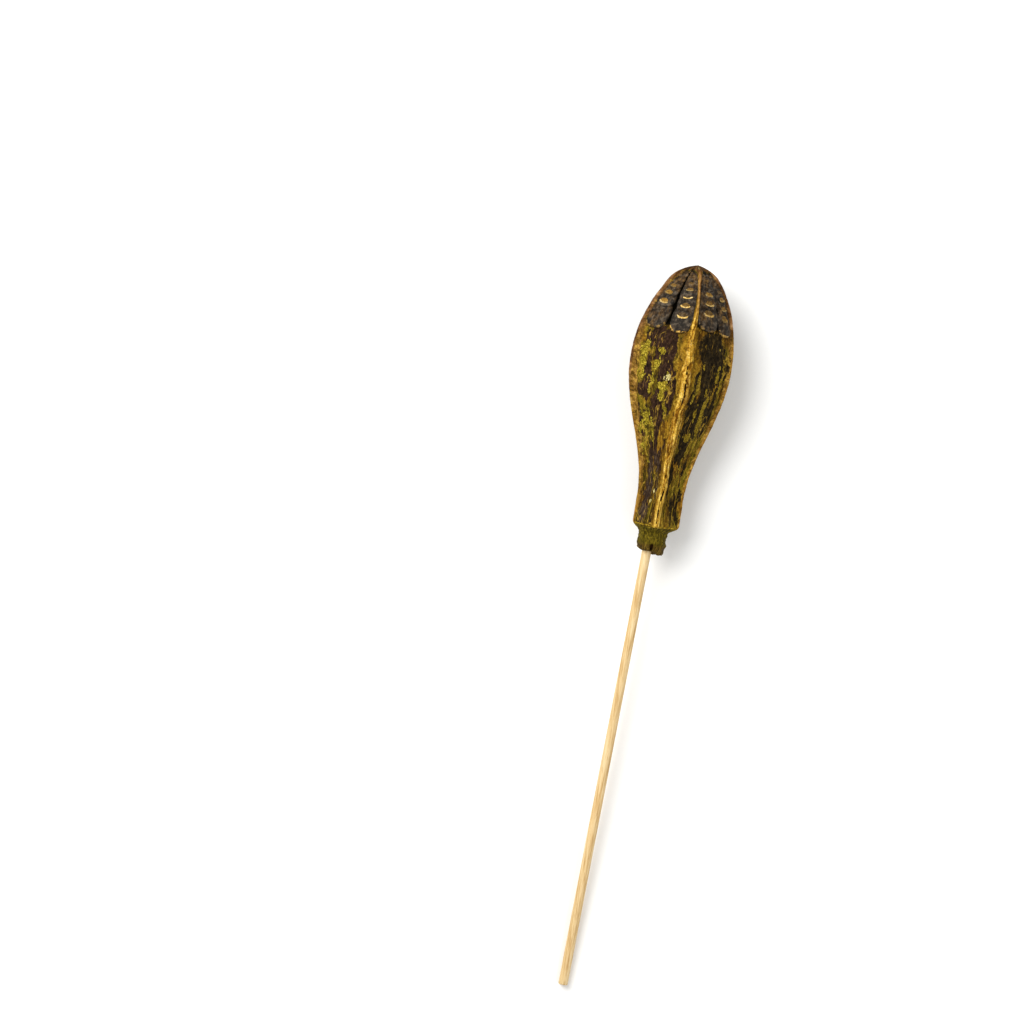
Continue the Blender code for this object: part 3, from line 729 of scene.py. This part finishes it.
def core_surface(turn, station, sizes):
    """The fine surface above the collar: its points, and what the material needs to know at each."""
    reach, angle, face, place, width = plain_side(turn, station)
    side_width = width * rib_radius(station)
    grain_place = drum_place(turn, station)
    long_place = grain_place * np.array([1.0, 1.0, 0.28])
    rib = np.where(place < 0.5, face, face + 1) % 5
    front = rib == 0
    signed = np.where(place < 0.5, place, place - 1) * side_width
    line = np.stack([rib * 50 * MM, station, station * 0], axis=-1)
    # Values along the pod, and noise that follows its grain, runs long along it, or changes only along a rib
    along = partial(np.interp, station / MM)
    noise, long_noise, line_noise = [partial(soft_noise, where) for where in (grain_place, long_place, line)]
    signed = signed + 0.45 * MM * line_noise(7 * MM, 11) * rise(station, 0, 12)

    half_width = MM * along(
        (0, 5, 12, 20, 26, 33, 38, 50, 57, 65, 73, 80, 88, 95, 104, 112, 128),
        (1.2, 1.1, 0.55, 0.6, 1.0, 1.7, 2.0, 2.7, 2.9, 2.6, 2.4, 2.7, 2.9, 2.3, 1.7, 2.0, 2.1))
    least = np.array(LEAST_RIB_WIDTHS)[rib] * MM * (1 - 0.45 * rise(station, 26, 14))
    half_width = np.maximum(half_width * np.array(RIB_WIDTHS)[rib], least)
    torn = 0.22 * long_noise(2.2 * MM, 12) + 0.14 * noise(1.1 * MM, 13)
    half_width = half_width * (1 + torn * np.where(front, 1.0, 0.5))
    band = bell(signed, half_width, 4)
    split = 0.4 * MM * line_noise(4 * MM, 14)
    open_share = smooth(
        0.30 + 1.3 * line_noise(1.6 * MM, 15) + 0.60 * bell(station - 63 * MM, 9 * MM)
        + 0.25 * bell(station - 116 * MM, 9 * MM))
    crack = bell(signed - split, (0.55 + 0.25 * line_noise(2.5 * MM, 27)) * MM)
    crack *= open_share * rise(station, 26, 12) * np.where(front, 1.0, 0.12)
    side_crack = sum(
        bell(signed - split - aside * MM, 0.26 * MM) * smooth(0.2 + 1.2 * line_noise(5 * MM, seed))
        for aside, seed in ((1.25, 16), (-1.3, 17)))
    side_crack *= rise(station, 34, 10) * band * np.where(front, 1.0, 0.3)
    relief = sizes.rib_height * band * rise(station, 0, 8)
    relief += MM * np.array(TIP_RIB_HEIGHTS)[rib] * band * bell(station - 7 * MM, 4.5 * MM)
    relief -= sizes.rib_crack * (crack + 0.45 * side_crack)
    thread_place = grain_place * np.array([1.0, 1.0, 0.15])
    strand = np.clip(1 - 3.2 * np.abs(soft_noise(thread_place, 0.8 * MM, 18)), 0, 1)
    # Two raised pale lines run along the front rib, side by side in the neck and close together near the
    # scales. Their paleness is partly a painted highlight on the ridges.
    apart = MM * along((28, 46, 90, 104, 128), (0.55, 0.9, 1.0, 1.05, 1.1))
    wander = 0.45 * MM * line_noise(3 * MM, 28)
    lines = bell(np.abs(signed - wander) - apart, MM * along((90, 106), (0.42, 0.62)))
    lines *= along((27, 32, 42, 50, 92, 100, 128), (0, 1, 0.9, 0.25, 0.3, 1.3, 1.5)) * front
    lines *= 0.75 + 0.5 * noise(2.0 * MM, 29)
    strand = np.clip(np.maximum(strand, lines), 0, 1.3)
    relief += band * np.where(front, 1.0, 0.22) * MM * (0.38 * strand - 0.15 + 0.16 * noise(1.0 * MM, 19))
    relief -= 0.30 * MM * bell(np.abs(signed) - half_width - 1.2 * MM, 1.3 * MM) * rise(station, 40, 20)

    # The faces: broad swells, long ridges, fine grain and warts
    middle = np.sin(math.pi * place) ** 2 * MM
    relief += middle * (0.35 * noise(8 * MM, 20) + 0.15 * long_noise(2.4 * MM, 21))
    relief += sizes.grain * long_noise(0.7 * MM, 22)
    relief += 0.16 * MM * smooth((noise(1.3 * MM, 23) - 0.50) / 0.25) * (1 - band) * rise(station, 36, 6)

    # The crown: a crevice between the rows of scales, and the sunken bed that they grow from
    centre = (place - np.array(CREVICE_PLACES)[face]) * side_width
    crevice_width = MM * along((0, 6, 16, 28, 36), (0.5, 0.9, 1.4, 1.5, 0.8)) * np.array(CREVICE_WIDTHS)[face]
    crevice = bell(centre, crevice_width) * along((0, 3, 10, 24, 30, 35), (0, 0.35, 1.0, 1.0, 0.6, 0.0))
    bed_end = 31.5 * MM + 1.0 * MM * noise(3 * MM, 24)
    off_rib = 1 - bell(signed, half_width * 1.15 + np.where(front, 0.55, 0.2) * MM, 6)
    apex = 1 - smooth((station - 1.4 * MM) / (2.2 * MM) - 0.5 * noise(5 * MM, 26))
    crown = smooth((bed_end - station) / (1.2 * MM)) * off_rib * (1 - apex)
    relief -= sizes.crevice * crevice + 0.8 * MM * crown * rise(station, 0, 6)
    relief += 1.0 * MM * bell(station - 3.6 * MM, 2.6 * MM)
    relief += bell(station - 1.2 * MM, 1.8 * MM) * (0.45 + 0.5 * noise(9 * MM, 25)) * MM

    flank_width = np.where(
        signed > 0, along((0, 30, 40, 54, 62, 128), (1.2, 2.6, 6.4, 5.8, 3.0, 2.4)),
        along((0, 30, 45, 70, 92, 100, 128), (1.2, 2.4, 5.6, 5.2, 5.0, 3.2, 3.0)))
    margin_width = np.where(
        rib == 4, along((0, 30, 45, 80, 98, 128), (1.6, 2.2, 4.8, 4.2, 1.5, 0.9)),
        along((0, 30, 45, 62, 80, 104, 128), (0.9, 1.3, 2.6, 1.5, 1.4, 0.8, 0.6)))
    facts = {
        "grain_place": grain_place,
        "rib": np.maximum(band * along((0, 12, 26, 40), (0.80, 0.85, 0.95, 1.0)), apex),
        "strand": strand,
        "brown_rib": 1 - rise(station, np.array(OLD_RIB_ENDS)[rib], np.array(OLD_RIB_FADES)[rib]),
        "grey": rise(station, 90, 14) * (face != 0),
        # The cracks are painted dark brown in their grooves: painted shade
        "crack": np.clip(crack + 0.7 * side_crack, 0, 1),
        # The crown marks the crevice and the bed under the scales, which the material paints nearly black as
        # painted shade, and the apex, which takes some of that dark
        "crown": np.clip(crown + crevice, 0, 1) * (1 - 0.8 * apex) + 0.42 * apex,
        "stub": np.zeros_like(station),
        "rim": np.zeros_like(station),
        "flank": bell(signed, flank_width * MM, 3) * front,
        "margin": bell(signed, margin_width * MM, 3) * ~front,
        "crown_margin": bell(signed, 1.2 * margin_width * MM, 4) * ~front * (1 - rise(station, 27, 12)),
        "dark_side": (face == 0) * 1.0,
    }
    for name, table in (("stain", STAINS_AND_SHADE), ("lichen", FILMS), ("flake_and_glint", FLAKES_AND_GLINT)):
        facts[name] = patches(table, face, place, station, side_width, grain_place)
    return reach + (relief - sizes.rib_height) * (1 - 0.85 * rise(station, 121, 7)), angle, facts


def base_surface(turn, station, radius, roundness, level, sizes):
    """The collar's underside, the stub, its torn end and the hole for the stick."""
    _, _, above = core_surface(turn, np.minimum(station, COLLAR_STATION), sizes)
    below_rim = rise(station, RIM_END, 0.7)
    over_rim = np.where(level > RIM_FLAT, 0.0, 1 - below_rim)
    reach, angle, *_ = plain_side(turn, station, radius, roundness)
    skin = np.stack([radius * np.cos(angle), radius * np.sin(angle), station], axis=-1)
    noise = partial(soft_noise, skin)
    outside = 1 - smooth((level - (HOLE_START - 1.5)) / 1.5)
    stub = rise(station, 132, 2) * outside
    reach = reach + stub * MM * (0.75 * noise(3.6 * MM, 31) + 0.40 * noise(1.6 * MM, 32))
    reach = reach + outside * 0.10 * MM * noise(0.7 * MM, 33)
    end = smooth((level - TORN_START) / 3) * outside
    ragged = 0.25 + 1.15 * np.sin(angle - 0.5) + 0.75 * noise(3.0 * MM, 34) + 0.4 * noise(1.4 * MM, 35)
    # One deep notch is torn out of the end, beside the stick
    notch = bell(np.angle(np.exp(1j * (angle - NOTCH_ANGLE))), NOTCH_HALF_WIDTH, 4)
    torn = rise(station, 140.8, 0.9) * outside * notch
    reach = reach - 1.2 * MM * torn * (level < HOLE_LIP)
    facts = {
        "grain_place": drum_place(turn, station),
        # The torn notch joins the cracks and is painted dark: painted shade in the notch
        "crack": torn + above["crack"] * over_rim,
        "stub": below_rim + rise(station, 139.5, 4),
        "rim": bell(station - 129.3 * MM, 0.6 * MM) * (level < RIM_LIMIT),
    }
    facts.update({key: values * over_rim for key, values in above.items() if key not in facts})
    return reach, angle, end * MM * (ragged - 1.2 * notch), facts


def stick_shift(station, level):
    """How far the ring moves sideways to meet the stick's own line."""
    share = smooth((level - HOLE_TURN) / 3)
    target = STICK_OFFSET + (STUB_END - station) * math.tan(STICK_LEAN)
    return share * (target - STUB_OFFSET)


class SEEDPOD_OT_core(bpy.types.Operator):
    """Build the woody core: ribs, faces, collar and stub"""

    bl_idname = "seedpod.core"
    bl_label = "Core"

    def execute(self, context):
        sizes = context.scene.pod_sizes
        turns = column_turns(sizes.columns)
        stations = body_rings(sizes.ring_pitch)
        turn, station = [grid.ravel() for grid in np.meshgrid(turns, stations)]
        reach, angle, facts = core_surface(turn, station, sizes)
        points = to_place(reach, angle, station)

        base_station, base_radius, roundness, level = base_rings()
        count = len(turns)
        columns = [np.repeat(values, count) for values in (base_station, base_radius, roundness, level)]
        reach, angle, shift, base_facts = base_surface(np.tile(turns, len(level)), *columns, sizes)
        station = columns[0] + shift
        unslanted = smooth((columns[3] - LEVEL_START) / 2) * collar_drop(station, angle)
        base_points = to_place(reach, angle, station - unslanted)
        base_points[:, 0] += stick_shift(columns[0], columns[3])

        # A pole in the middle of the first ring and of the last one closes the form
        poles = [points[:count].mean(axis=0), base_points[-count:].mean(axis=0)]
        everything = np.concatenate([points, base_points, poles])
        everything[:, 2] = np.maximum(everything[:, 2], FLOOR_GAP)
        rings = len(stations) + len(level)
        faces = grid_faces(rings, count, rings * count, rings * count + 1)
        for key, values in facts.items():
            ends = np.zeros((2, *values.shape[1:]))
            if key == "grain_place":
                ends[1, 2] = base_station[-1]
            facts[key] = np.concatenate([values, base_facts[key], ends])
        piece = make_piece("pod_core", everything, faces, pod_wood(), facts)
        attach(piece, BODY)
        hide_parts(POD_NODE)
        return {"FINISHED"}


def scatter_tree():
    """Copies of a pattern on points that carry their own turn and size, each varied a little, as one mesh."""
    tree = bpy.data.node_groups.new("scatter_on_pod", "GeometryNodeTree")
    tree.interface.new_socket("Geometry", in_out="INPUT", socket_type="NodeSocketGeometry")
    for name, kind in (
        ("Pattern", "NodeSocketObject"), ("Size variation", "NodeSocketFloat"),
        ("Turn variation", "NodeSocketFloat"), ("Roughness height", "NodeSocketFloat"),
        ("Roughness size", "NodeSocketFloat"), ("Seed", "NodeSocketInt"), ("Material", "NodeSocketMaterial"),
    ):
        tree.interface.new_socket(name, in_out="INPUT", socket_type=kind)
    tree.interface.new_socket("Geometry", in_out="OUTPUT", socket_type="NodeSocketGeometry")
    add = partial(add_node, tree)
    given = add("NodeGroupInput", output=None).outputs
    pattern = add("GeometryNodeObjectInfo", {"Object": given["Pattern"]}, output="Geometry")
    turn, size = [
        add("GeometryNodeInputNamedAttribute", {"Name": name}, data_type="FLOAT_VECTOR")
        for name in ("piece_turn", "piece_size")]
    less, more = [
        add("Math", (1.0, given["Size variation"]), operation=operation) for operation in ("SUBTRACT", "ADD")]
    back = add("Math", (given["Turn variation"], -1.0), operation="MULTIPLY")
    vary, swing = [
        add("FunctionNodeRandomValue", {2: low, 3: high, "Seed": given["Seed"]}, data_type="FLOAT", output=1)
        for low, high in ((less, more), (back, given["Turn variation"]))]
    size = add("VectorMath", {0: size, "Scale": vary}, operation="SCALE")
    swing = add("CombineXYZ", {"Z": swing})
    copies = add("GeometryNodeInstanceOnPoints", {
        "Points": given["Geometry"], "Instance": pattern,
        "Rotation": add("FunctionNodeEulerToRotation", (turn,)), "Scale": size})
    copies = add("GeometryNodeRotateInstances", {
        "Instances": copies, "Rotation": add("FunctionNodeEulerToRotation", (swing,)), "Local Space": True})
    mesh = add("GeometryNodeRealizeInstances", {"Geometry": copies})
    scale = add("Math", (1.0, given["Roughness size"]), operation="DIVIDE")
    noise = add("TexNoise", {"Vector": add("GeometryNodeInputPosition"), "Scale": scale, "Detail": 3.0})
    level = add("Math", (noise, 0.5), operation="SUBTRACT")
    level = add("Math", (level, given["Roughness height"]), operation="MULTIPLY")
    offset = add("VectorMath", {0: add("GeometryNodeInputNormal"), "Scale": level}, operation="SCALE")
    mesh = add("GeometryNodeSetPosition", {"Geometry": mesh, "Offset": offset})
    mesh = add("GeometryNodeSetMaterial", {"Geometry": mesh, "Material": given["Material"]})
    add("NodeGroupOutput", {0: mesh}, output=None)
    return tree


def scatter(name, pattern, places, material, **values):
    """Runs the scatter tree on a list of places, and gives its result as one plain mesh object."""
    points = np.array([place["at"] for place in places])
    attributes = {
        "piece_turn": np.array([place["turn"] for place in places]),
        "piece_size": np.array([place["size"] for place in places]),
    }
    for key in places[0].get("facts", {}):
        attributes[key] = np.array([place["facts"][key] for place in places])
    holder = make_piece(name + "_places", points, [], material, attributes)
    tree = bpy.data.node_groups.get("scatter_on_pod") or scatter_tree()
    modifier = holder.modifiers.new("scatter", "NODES")
    modifier.node_group = tree
    given = {"Pattern": pattern, "Material": material, "Seed": 3}
    given.update({key.replace("_", " "): value for key, value in values.items()})
    for item in tree.interface.items_tree:
        if item.in_out == "INPUT" and item.name in given:
            modifier[item.identifier] = given[item.name]
    mesh = plain_mesh(holder)
    bpy.data.objects.remove(pattern)
    mesh.name = name
    mesh.shade_smooth()
    if len(mesh.polygons) == 0:
        raise RuntimeError(f"{name} has no faces")
    return place_object(name, mesh)


def surface_matrix(turn, station, lower):
    """A matrix on the pod's plain side: X round the pod, Y towards the tip, Z outwards."""
    step = 0.4 * MM
    turns = np.array([turn, turn + 0.03, turn - 0.03, turn, turn])
    stations = np.array([station, station, station, station - step, station + step])
    reach, angle, *_ = plain_side(turns, stations)
    here, right, left, up, down = [Vector(point) for point in to_place(reach, angle, stations)]
    outward = (right - left).cross(up - down).normalized()
    x_axis = (up - down).cross(outward).normalized()
    y_axis = outward.cross(x_axis)
    turned = Matrix((x_axis, y_axis, outward)).transposed()
    return here - outward * lower, turned


SCALE_COLUMNS, SCALE_RINGS = 36, 11
SCALE_SQUARENESS = 0.74


def scale_pattern(name, thickness, scar_at, scar_length):
    """One seed scale, 2 across and 2 long but as thick as it is: domed, with a seed scar and a free lip."""
    share = np.linspace(0, 1, SCALE_RINGS + 1)[1:] ** 0.8
    theta = np.arange(SCALE_COLUMNS) / SCALE_COLUMNS * 2 * math.pi
    ring, turn = [grid.ravel() for grid in np.meshgrid(share, theta, indexing="ij")]
    across = ring * np.sign(np.cos(turn)) * np.abs(np.cos(turn)) ** SCALE_SQUARENESS
    down = ring * np.sign(np.sin(turn)) * np.abs(np.sin(turn)) ** SCALE_SQUARENESS
    ring = np.concatenate([ring, np.full(SCALE_COLUMNS, 1.0), [0.0, 1.0]])
    across = np.concatenate([across, across[-SCALE_COLUMNS:] * 0.96, [0.0, 0.0]])
    down = np.concatenate([down, down[-SCALE_COLUMNS:] * 0.97, [0.0, 0.0]])
    oval = np.sqrt((across / 0.46) ** 2 + ((down - scar_at) / scar_length) ** 2)
    below = smooth((scar_at - down) / scar_length + 0.25)
    # The crescent is the scar's raised lower rim; the material paints it gold with a painted highlight
    crescent = bell(oval - 1.0, 0.27) * below
    height = 0.62 * MM * crescent - 0.38 * MM * bell(oval, 0.85, 4)
    height = height - 0.85 * MM * across**2 - 0.25 * MM * down**2
    height = height - thickness * 0.75 * smooth((ring - 0.86) / 0.14) ** 2
    height = height + 0.18 * MM * bell(down + 0.82, 0.12) * (1 - across**2)
    under = np.zeros(len(ring), dtype=bool)
    under[-SCALE_COLUMNS - 2 : -2] = True
    under[-1] = True
    height[under] = -thickness - 0.85 * MM * across[under] ** 2
    points = np.stack([across, down, height], axis=-1)
    lip = smooth((ring - 0.80) / 0.10) * smooth((-down - 0.30) / 0.3)
    facts = {
        "scar": bell(oval, 0.95, 4) * 0.9,
        "crescent": crescent,
        "lip": lip,
        # The side marks where each scale is darkened with painted shade, less at its lower lip
        "side": smooth((ring - 0.90) / 0.10) * (1 - 0.8 * smooth((-down - 0.4) / 0.3)),
    }
    top = SCALE_RINGS * SCALE_COLUMNS + SCALE_COLUMNS
    faces = grid_faces(SCALE_RINGS + 1, SCALE_COLUMNS, top, top + 1)
    piece = make_piece(name, points, faces, scale_wood(), facts)
    face_outwards(piece)
    return piece


SCALES_IN_ROW = 7
# A scale whose lip is nearer the tip than this is thinner and tucked in less
FULL_SCALE_STATION = 20 * MM

# For the row of scales on each side of each face's crevice: how much lower than usual it starts, in mm, how
# much gold its last lip has, and how far it sits from the crevice, as a share of its width
ROWS = {
    (4, -1): (-0.6, 0.35, 0.49), (4, 1): (0.2, 1.0, 0.47), (0, -1): (-2.4, 0.25, 0.44),
    (0, 1): (-0.6, 0.6, 0.49), (1, -1): (-0.5, 0.6, 0.49), (1, 1): (0.5, 0.3, 0.49),
    (2, -1): (-0.5, 0.8, 0.49), (2, 1): (0.5, 0.4, 0.49), (3, -1): (-0.5, 0.3, 0.49),
    (3, 1): (0.5, 0.7, 0.49),
}

# How tan each seed scar is, and how bright its lower edge, a gold rim with a painted highlight, from the last
# scale of a row to the first
SCARS = {
    (4, -1): ((0.0, 0.0), (0.9, 0.7), (0.9, 0.3), (0.6, 0.2), (0.1, 0.0)),
    (4, 1): ((0.15, 1.0), (0.45, 1.0), (0.1, 1.0), (0.5, 0.4), (0.3, 0.1)),
    (0, -1): ((0.35, 0.75), (0.45, 0.7), (0.75, 0.4), (0.1, 0.0), (0.3, 0.0)),
    (0, 1): ((0.5, 0.2), (0.6, 0.3), (0.7, 0.5), (0.2, 0.1), (0.0, 0.0)),
}
USUAL_SCARS = ((0.4, 0.8), (0.7, 0.7), (0.3, 0.9), (0.6, 0.4), (0.2, 0.1))


def scale_places(sizes, last):
    """The places of the last scales of the rows, or of all the others."""
    draw = np.random.default_rng(7)
    found = []
    for face in range(5):
        for side in (-1, 1):
            lower, gold, apart = ROWS[face, side]
            scars = SCARS.get((face, side), USUAL_SCARS)
            lip = sizes.last_lip + lower * MM
            shown = sizes.last_shown
            for index in range(SCALES_IN_ROW):
                tint = draw.random()
                full_size = min(1.0, lip / FULL_SCALE_STATION)
                length = shown + sizes.tuck * full_size
                middle = max(lip - length / 2, 1.2 * MM)
                crevice = CREVICE_PLACES[face]
                row_width = crevice if side < 0 else 1 - crevice
                place = crevice + side * (row_width * apart + 0.018 * CREVICE_WIDTHS[face])
                station = np.array([lip - shown * 0.4])
                width = plain_side(np.array([face + 0.5]), station)[4] * rib_radius(station) * row_width
                if (index == 0) == last:
                    at, turned = surface_matrix(face + place, middle, 0.55 * MM)
                    lift = Matrix.Rotation(-sizes.lift * (1.5 if last else 1.0), 3, "X")
                    half_width = (0.88 - 0.10 * CREVICE_WIDTHS[face]) * float(width[0]) / 2
                    scar_fill, scar_lip = scars[index] if index < len(scars) else (0.0, 0.0)
                    found.append({
                        "at": at, "turn": (turned @ lift).to_euler(),
                        "size": (half_width, length / 2, full_size),
                        "facts": {
                            "tint": tint, "scar_fill": scar_fill, "scar_lip": scar_lip,
                            "lip_show": gold if last else 0.0, "brown": max(0.0, (index - 2.5) / 2.5),
                        },
                    })
                lip -= shown
                shown = sizes.next_shown * sizes.shown_ratio**index
    return found


class SEEDPOD_OT_scales(bpy.types.Operator):
    """Build the rows of seed scales under the tip"""

    bl_idname = "seedpod.scales"
    bl_label = "Seed scales"

    def execute(self, context):
        sizes = context.scene.scale_sizes
        for name, last, scar_at, scar_length in (
            ("seed_scales", False, -0.30, 0.30), ("last_seed_scales", True, 0.20, 0.22),
        ):
            pattern = scale_pattern(name + "_pattern", sizes.thickness, scar_at, scar_length)
            material = pattern.data.materials[0]
            piece = scatter(
                name, pattern, scale_places(sizes, last), material, Size_variation=0.04,
                Turn_variation=math.radians(3), Roughness_height=0.35 * MM, Roughness_size=1.6 * MM)
            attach(piece, BODY)
            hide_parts(POD_NODE)
        return {"FINISHED"}


# Where loose fibres grow and how long they are, in mm. Lower ones would reach into the surface
FIBRE_STATIONS, FIBRE_LENGTHS = (38, 125), (1.4, 3.8)
LOWEST_FIBRE = 2.5 * MM


def fibre_pattern():
    """A thin curled strand, 1 long, with five sides."""
    curve = bpy.data.curves.new("fibre_line", "CURVE")
    curve.dimensions = "3D"
    line = curve.splines.new("POLY")
    line.points.add(6)
    for index, point in enumerate(line.points):
        share = index / 6
        point.co = (0.05 * math.sin(share * 5), share - 0.5, 0.5 * math.sin(share * math.pi), 1)
        point.radius = 0.35 + 0.65 * math.sin(math.pi * min(1, share + 0.1)) ** 0.5
    curve.bevel_depth = 0.028
    curve.bevel_resolution = 1
    curve.use_fill_caps = True
    return place_object("fibre_pattern", plain_mesh(place_object("fibre_line", curve)))


class SEEDPOD_OT_fibres(bpy.types.Operator):
    """Build the loose fibres along the ribs"""

    bl_idname = "seedpod.fibres"
    bl_label = "Fibres"

    def execute(self, context):
        sizes = context.scene.pod_sizes
        draw = np.random.default_rng(21)
        places = []
        for _ in range(sizes.fibres):
            rib = int(draw.integers(0, 5))
            station = draw.uniform(*FIBRE_STATIONS) * MM
            radius = float(rib_radius(np.array([station]))[0])
            turn = (rib + draw.normal(0, 1.7) * MM / (1.2 * radius)) % 5
            beside_rib = abs(turn - round(turn)) * 1.25 * radius > 1.6 * MM
            at, turned = surface_matrix(turn, station, (0.6 if beside_rib else 0.0) * MM)
            length = draw.uniform(*FIBRE_LENGTHS) * MM * (1.0 if rib == 0 else 0.6)
            if at.z < LOWEST_FIBRE or (rib in (1, 4) and not beside_rib):
                continue
            swing = Matrix.Rotation(draw.normal(0, 0.22), 3, "Z")
            places.append({
                "at": at, "turn": (turned @ swing).to_euler(),
                "size": (length * 0.8, length, length * draw.uniform(0.10, 0.24)),
            })
        piece = scatter(
            "rib_fibres", fibre_pattern(), places, fibre_wood(), Size_variation=0.2, Turn_variation=0.1,
            Roughness_height=0.0, Roughness_size=1 * MM)
        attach(piece, BODY)
        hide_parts(POD_NODE)
        return {"FINISHED"}


STICK_RADIUS = 2.38 * MM
STICK_SHOWN, STICK_SUNK = 223 * MM, 21 * MM
STICK_SIDES, STICK_RINGS = 48, 120
STICK_EDGE = 0.4 * MM


class SEEDPOD_OT_stick(bpy.types.Operator):
    """Build the wooden stick"""

    bl_idname = "seedpod.stick"
    bl_label = "Stick"

    def execute(self, context):
        top, bottom = -STICK_SUNK, STICK_SHOWN
        edge = STICK_EDGE
        rings = [(top, STICK_RADIUS - edge * 1.1), (top + edge * 0.3, STICK_RADIUS - edge * 0.35)]
        rings += [(down, STICK_RADIUS) for down in np.linspace(top + edge, bottom - edge, STICK_RINGS)]
        rings += [
            (bottom - edge * 0.3, STICK_RADIUS - edge * 0.3), (bottom, STICK_RADIUS - edge * 0.9),
            (bottom - 0.02 * MM, STICK_RADIUS * 0.55)]
        down, radius = np.repeat(np.array(rings).T, STICK_SIDES, axis=1)
        turn = np.tile(np.arange(STICK_SIDES) / STICK_SIDES * 2 * math.pi, len(rings))
        spot = np.stack([radius * np.cos(turn) * 4, radius * np.sin(turn) * 4, down * 0.1], axis=-1)
        radius = radius - 0.03 * MM + 0.03 * MM * soft_noise(spot, 2 * MM, 51)
        points = np.stack([radius * np.cos(turn), -down, radius * np.sin(turn)], axis=-1)
        poles = np.array([[0.0, -top, 0.0], [0.0, 0.03 * MM - bottom, 0.0]])
        points = np.concatenate([points, poles])
        cosine, sine = math.cos(STICK_LEAN), math.sin(STICK_LEAN)
        leaned = points.copy()
        leaned[:, 0] = points[:, 0] * cosine + points[:, 1] * sine + STICK_OFFSET
        leaned[:, 1] = -points[:, 0] * sine + points[:, 1] * cosine - STUB_END
        end_grain = np.zeros(len(points))
        end_grain[:STICK_SIDES] = 1.0
        end_grain[-2 - 2 * STICK_SIDES :] = 1.0
        pole = len(rings) * STICK_SIDES
        faces = grid_faces(len(rings), STICK_SIDES, pole, pole + 1)
        piece = make_piece("dowel", lay_down(leaned), faces, stick_wood(), {"end_grain": end_grain})
        face_outwards(piece)
        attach(piece, BODY)
        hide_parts(STICK_NODE)
        return {"FINISHED"}


# Where the middle of the picture looks, in the shared frame
PICTURE_MIDDLE = (-0.0722, 0.0478, 0.024)
SENSOR_WIDTH, CLIP_START, CLIP_END = 36.0, 0.01, 50.0
FLOOR_SIZE = 12
# Large round lights: place and power of each, and their size and aim
LIGHTS = {"key_light": ((-0.75, 0.60, 1.0), 20.0), "fill_light": ((0.9, -0.2, 1.2), 7.0)}
LIGHT_SIZE, LIGHT_AIM = 1.2, (0, 0.05, 0)
ROOM_STRENGTH = 0.52


class SEEDPOD_OT_stage(bpy.types.Operator):
    """Build the floor, the lights and the camera"""

    bl_idname = "seedpod.stage"
    bl_label = "Stage"

    def execute(self, context):
        settings = context.scene.stage_settings
        bpy.ops.mesh.primitive_plane_add(size=FLOOR_SIZE, location=(0, 0, 0))
        floor = context.object
        floor.name = "floor"
        floor.data.materials.append(floor_paper())

        camera = bpy.data.cameras.new("camera")
        camera.lens = settings.lens
        camera.sensor_width = SENSOR_WIDTH
        camera.clip_start = CLIP_START
        camera.clip_end = CLIP_END
        holder = place_object("camera", camera)
        distance = settings.view_width * settings.lens / camera.sensor_width
        holder.location = Vector(PICTURE_MIDDLE) + Vector((0, 0, distance))
        holder.rotation_euler = Euler((0, 0, settings.roll))
        context.scene.camera = holder

        world = bpy.data.worlds.new("soft_white_room")
        world.use_nodes = True
        background = world.node_tree.nodes["Background"].inputs
        background["Color"].default_value = (1.0, 1.0, 1.0, 1.0)
        background["Strength"].default_value = ROOM_STRENGTH
        context.scene.world = world
        context.scene.view_settings.view_transform = "Standard"
        for name, (place, power) in LIGHTS.items():
            light = bpy.data.lights.new(name, "AREA")
            light.shape = "DISK"
            light.size = LIGHT_SIZE
            light.energy = power
            lamp = place_object(name, light)
            lamp.location = place
            lamp.rotation_euler = (Vector(place) - Vector(LIGHT_AIM)).to_track_quat("Z", "Y").to_euler()
        return {"FINISHED"}


class SEEDPOD_PT_panel(bpy.types.Panel):
    """Lists the pod's pieces"""

    bl_label = "Seed pod"
    bl_idname = "SEEDPOD_PT_panel"
    bl_space_type = "VIEW_3D"
    bl_region_type = "UI"
    bl_category = "Seed pod"

    def draw(self, context):
        for operator in OPERATORS:
            self.layout.operator(operator.bl_idname)
        for key in GROUPS:
            group = getattr(context.scene, key)
            for name in group.__annotations__:
                self.layout.prop(group, name)


GROUPS = {
    "pod_sizes": PodSizes, "scale_sizes": ScaleSizes, "pod_colours": PodColours,
    "stage_settings": StageSettings,
}
OPERATORS = (
    SEEDPOD_OT_core, SEEDPOD_OT_scales, SEEDPOD_OT_fibres, SEEDPOD_OT_stick, SEEDPOD_OT_stage,
)


def register():
    for group in (*GROUPS.values(), *OPERATORS, SEEDPOD_PT_panel):
        bpy.utils.register_class(group)
    for name, group in GROUPS.items():
        setattr(bpy.types.Scene, name, bpy.props.PointerProperty(type=group))


def unregister():
    for name in GROUPS:
        delattr(bpy.types.Scene, name)
    for group in (SEEDPOD_PT_panel, *reversed(OPERATORS), *GROUPS.values()):
        bpy.utils.unregister_class(group)


def main():
    register()
    bpy.ops.seedpod.core()
    bpy.ops.seedpod.scales()
    bpy.ops.seedpod.fibres()
    bpy.ops.seedpod.stick()
    bpy.ops.seedpod.stage()


if __name__ == "__main__":
    main()
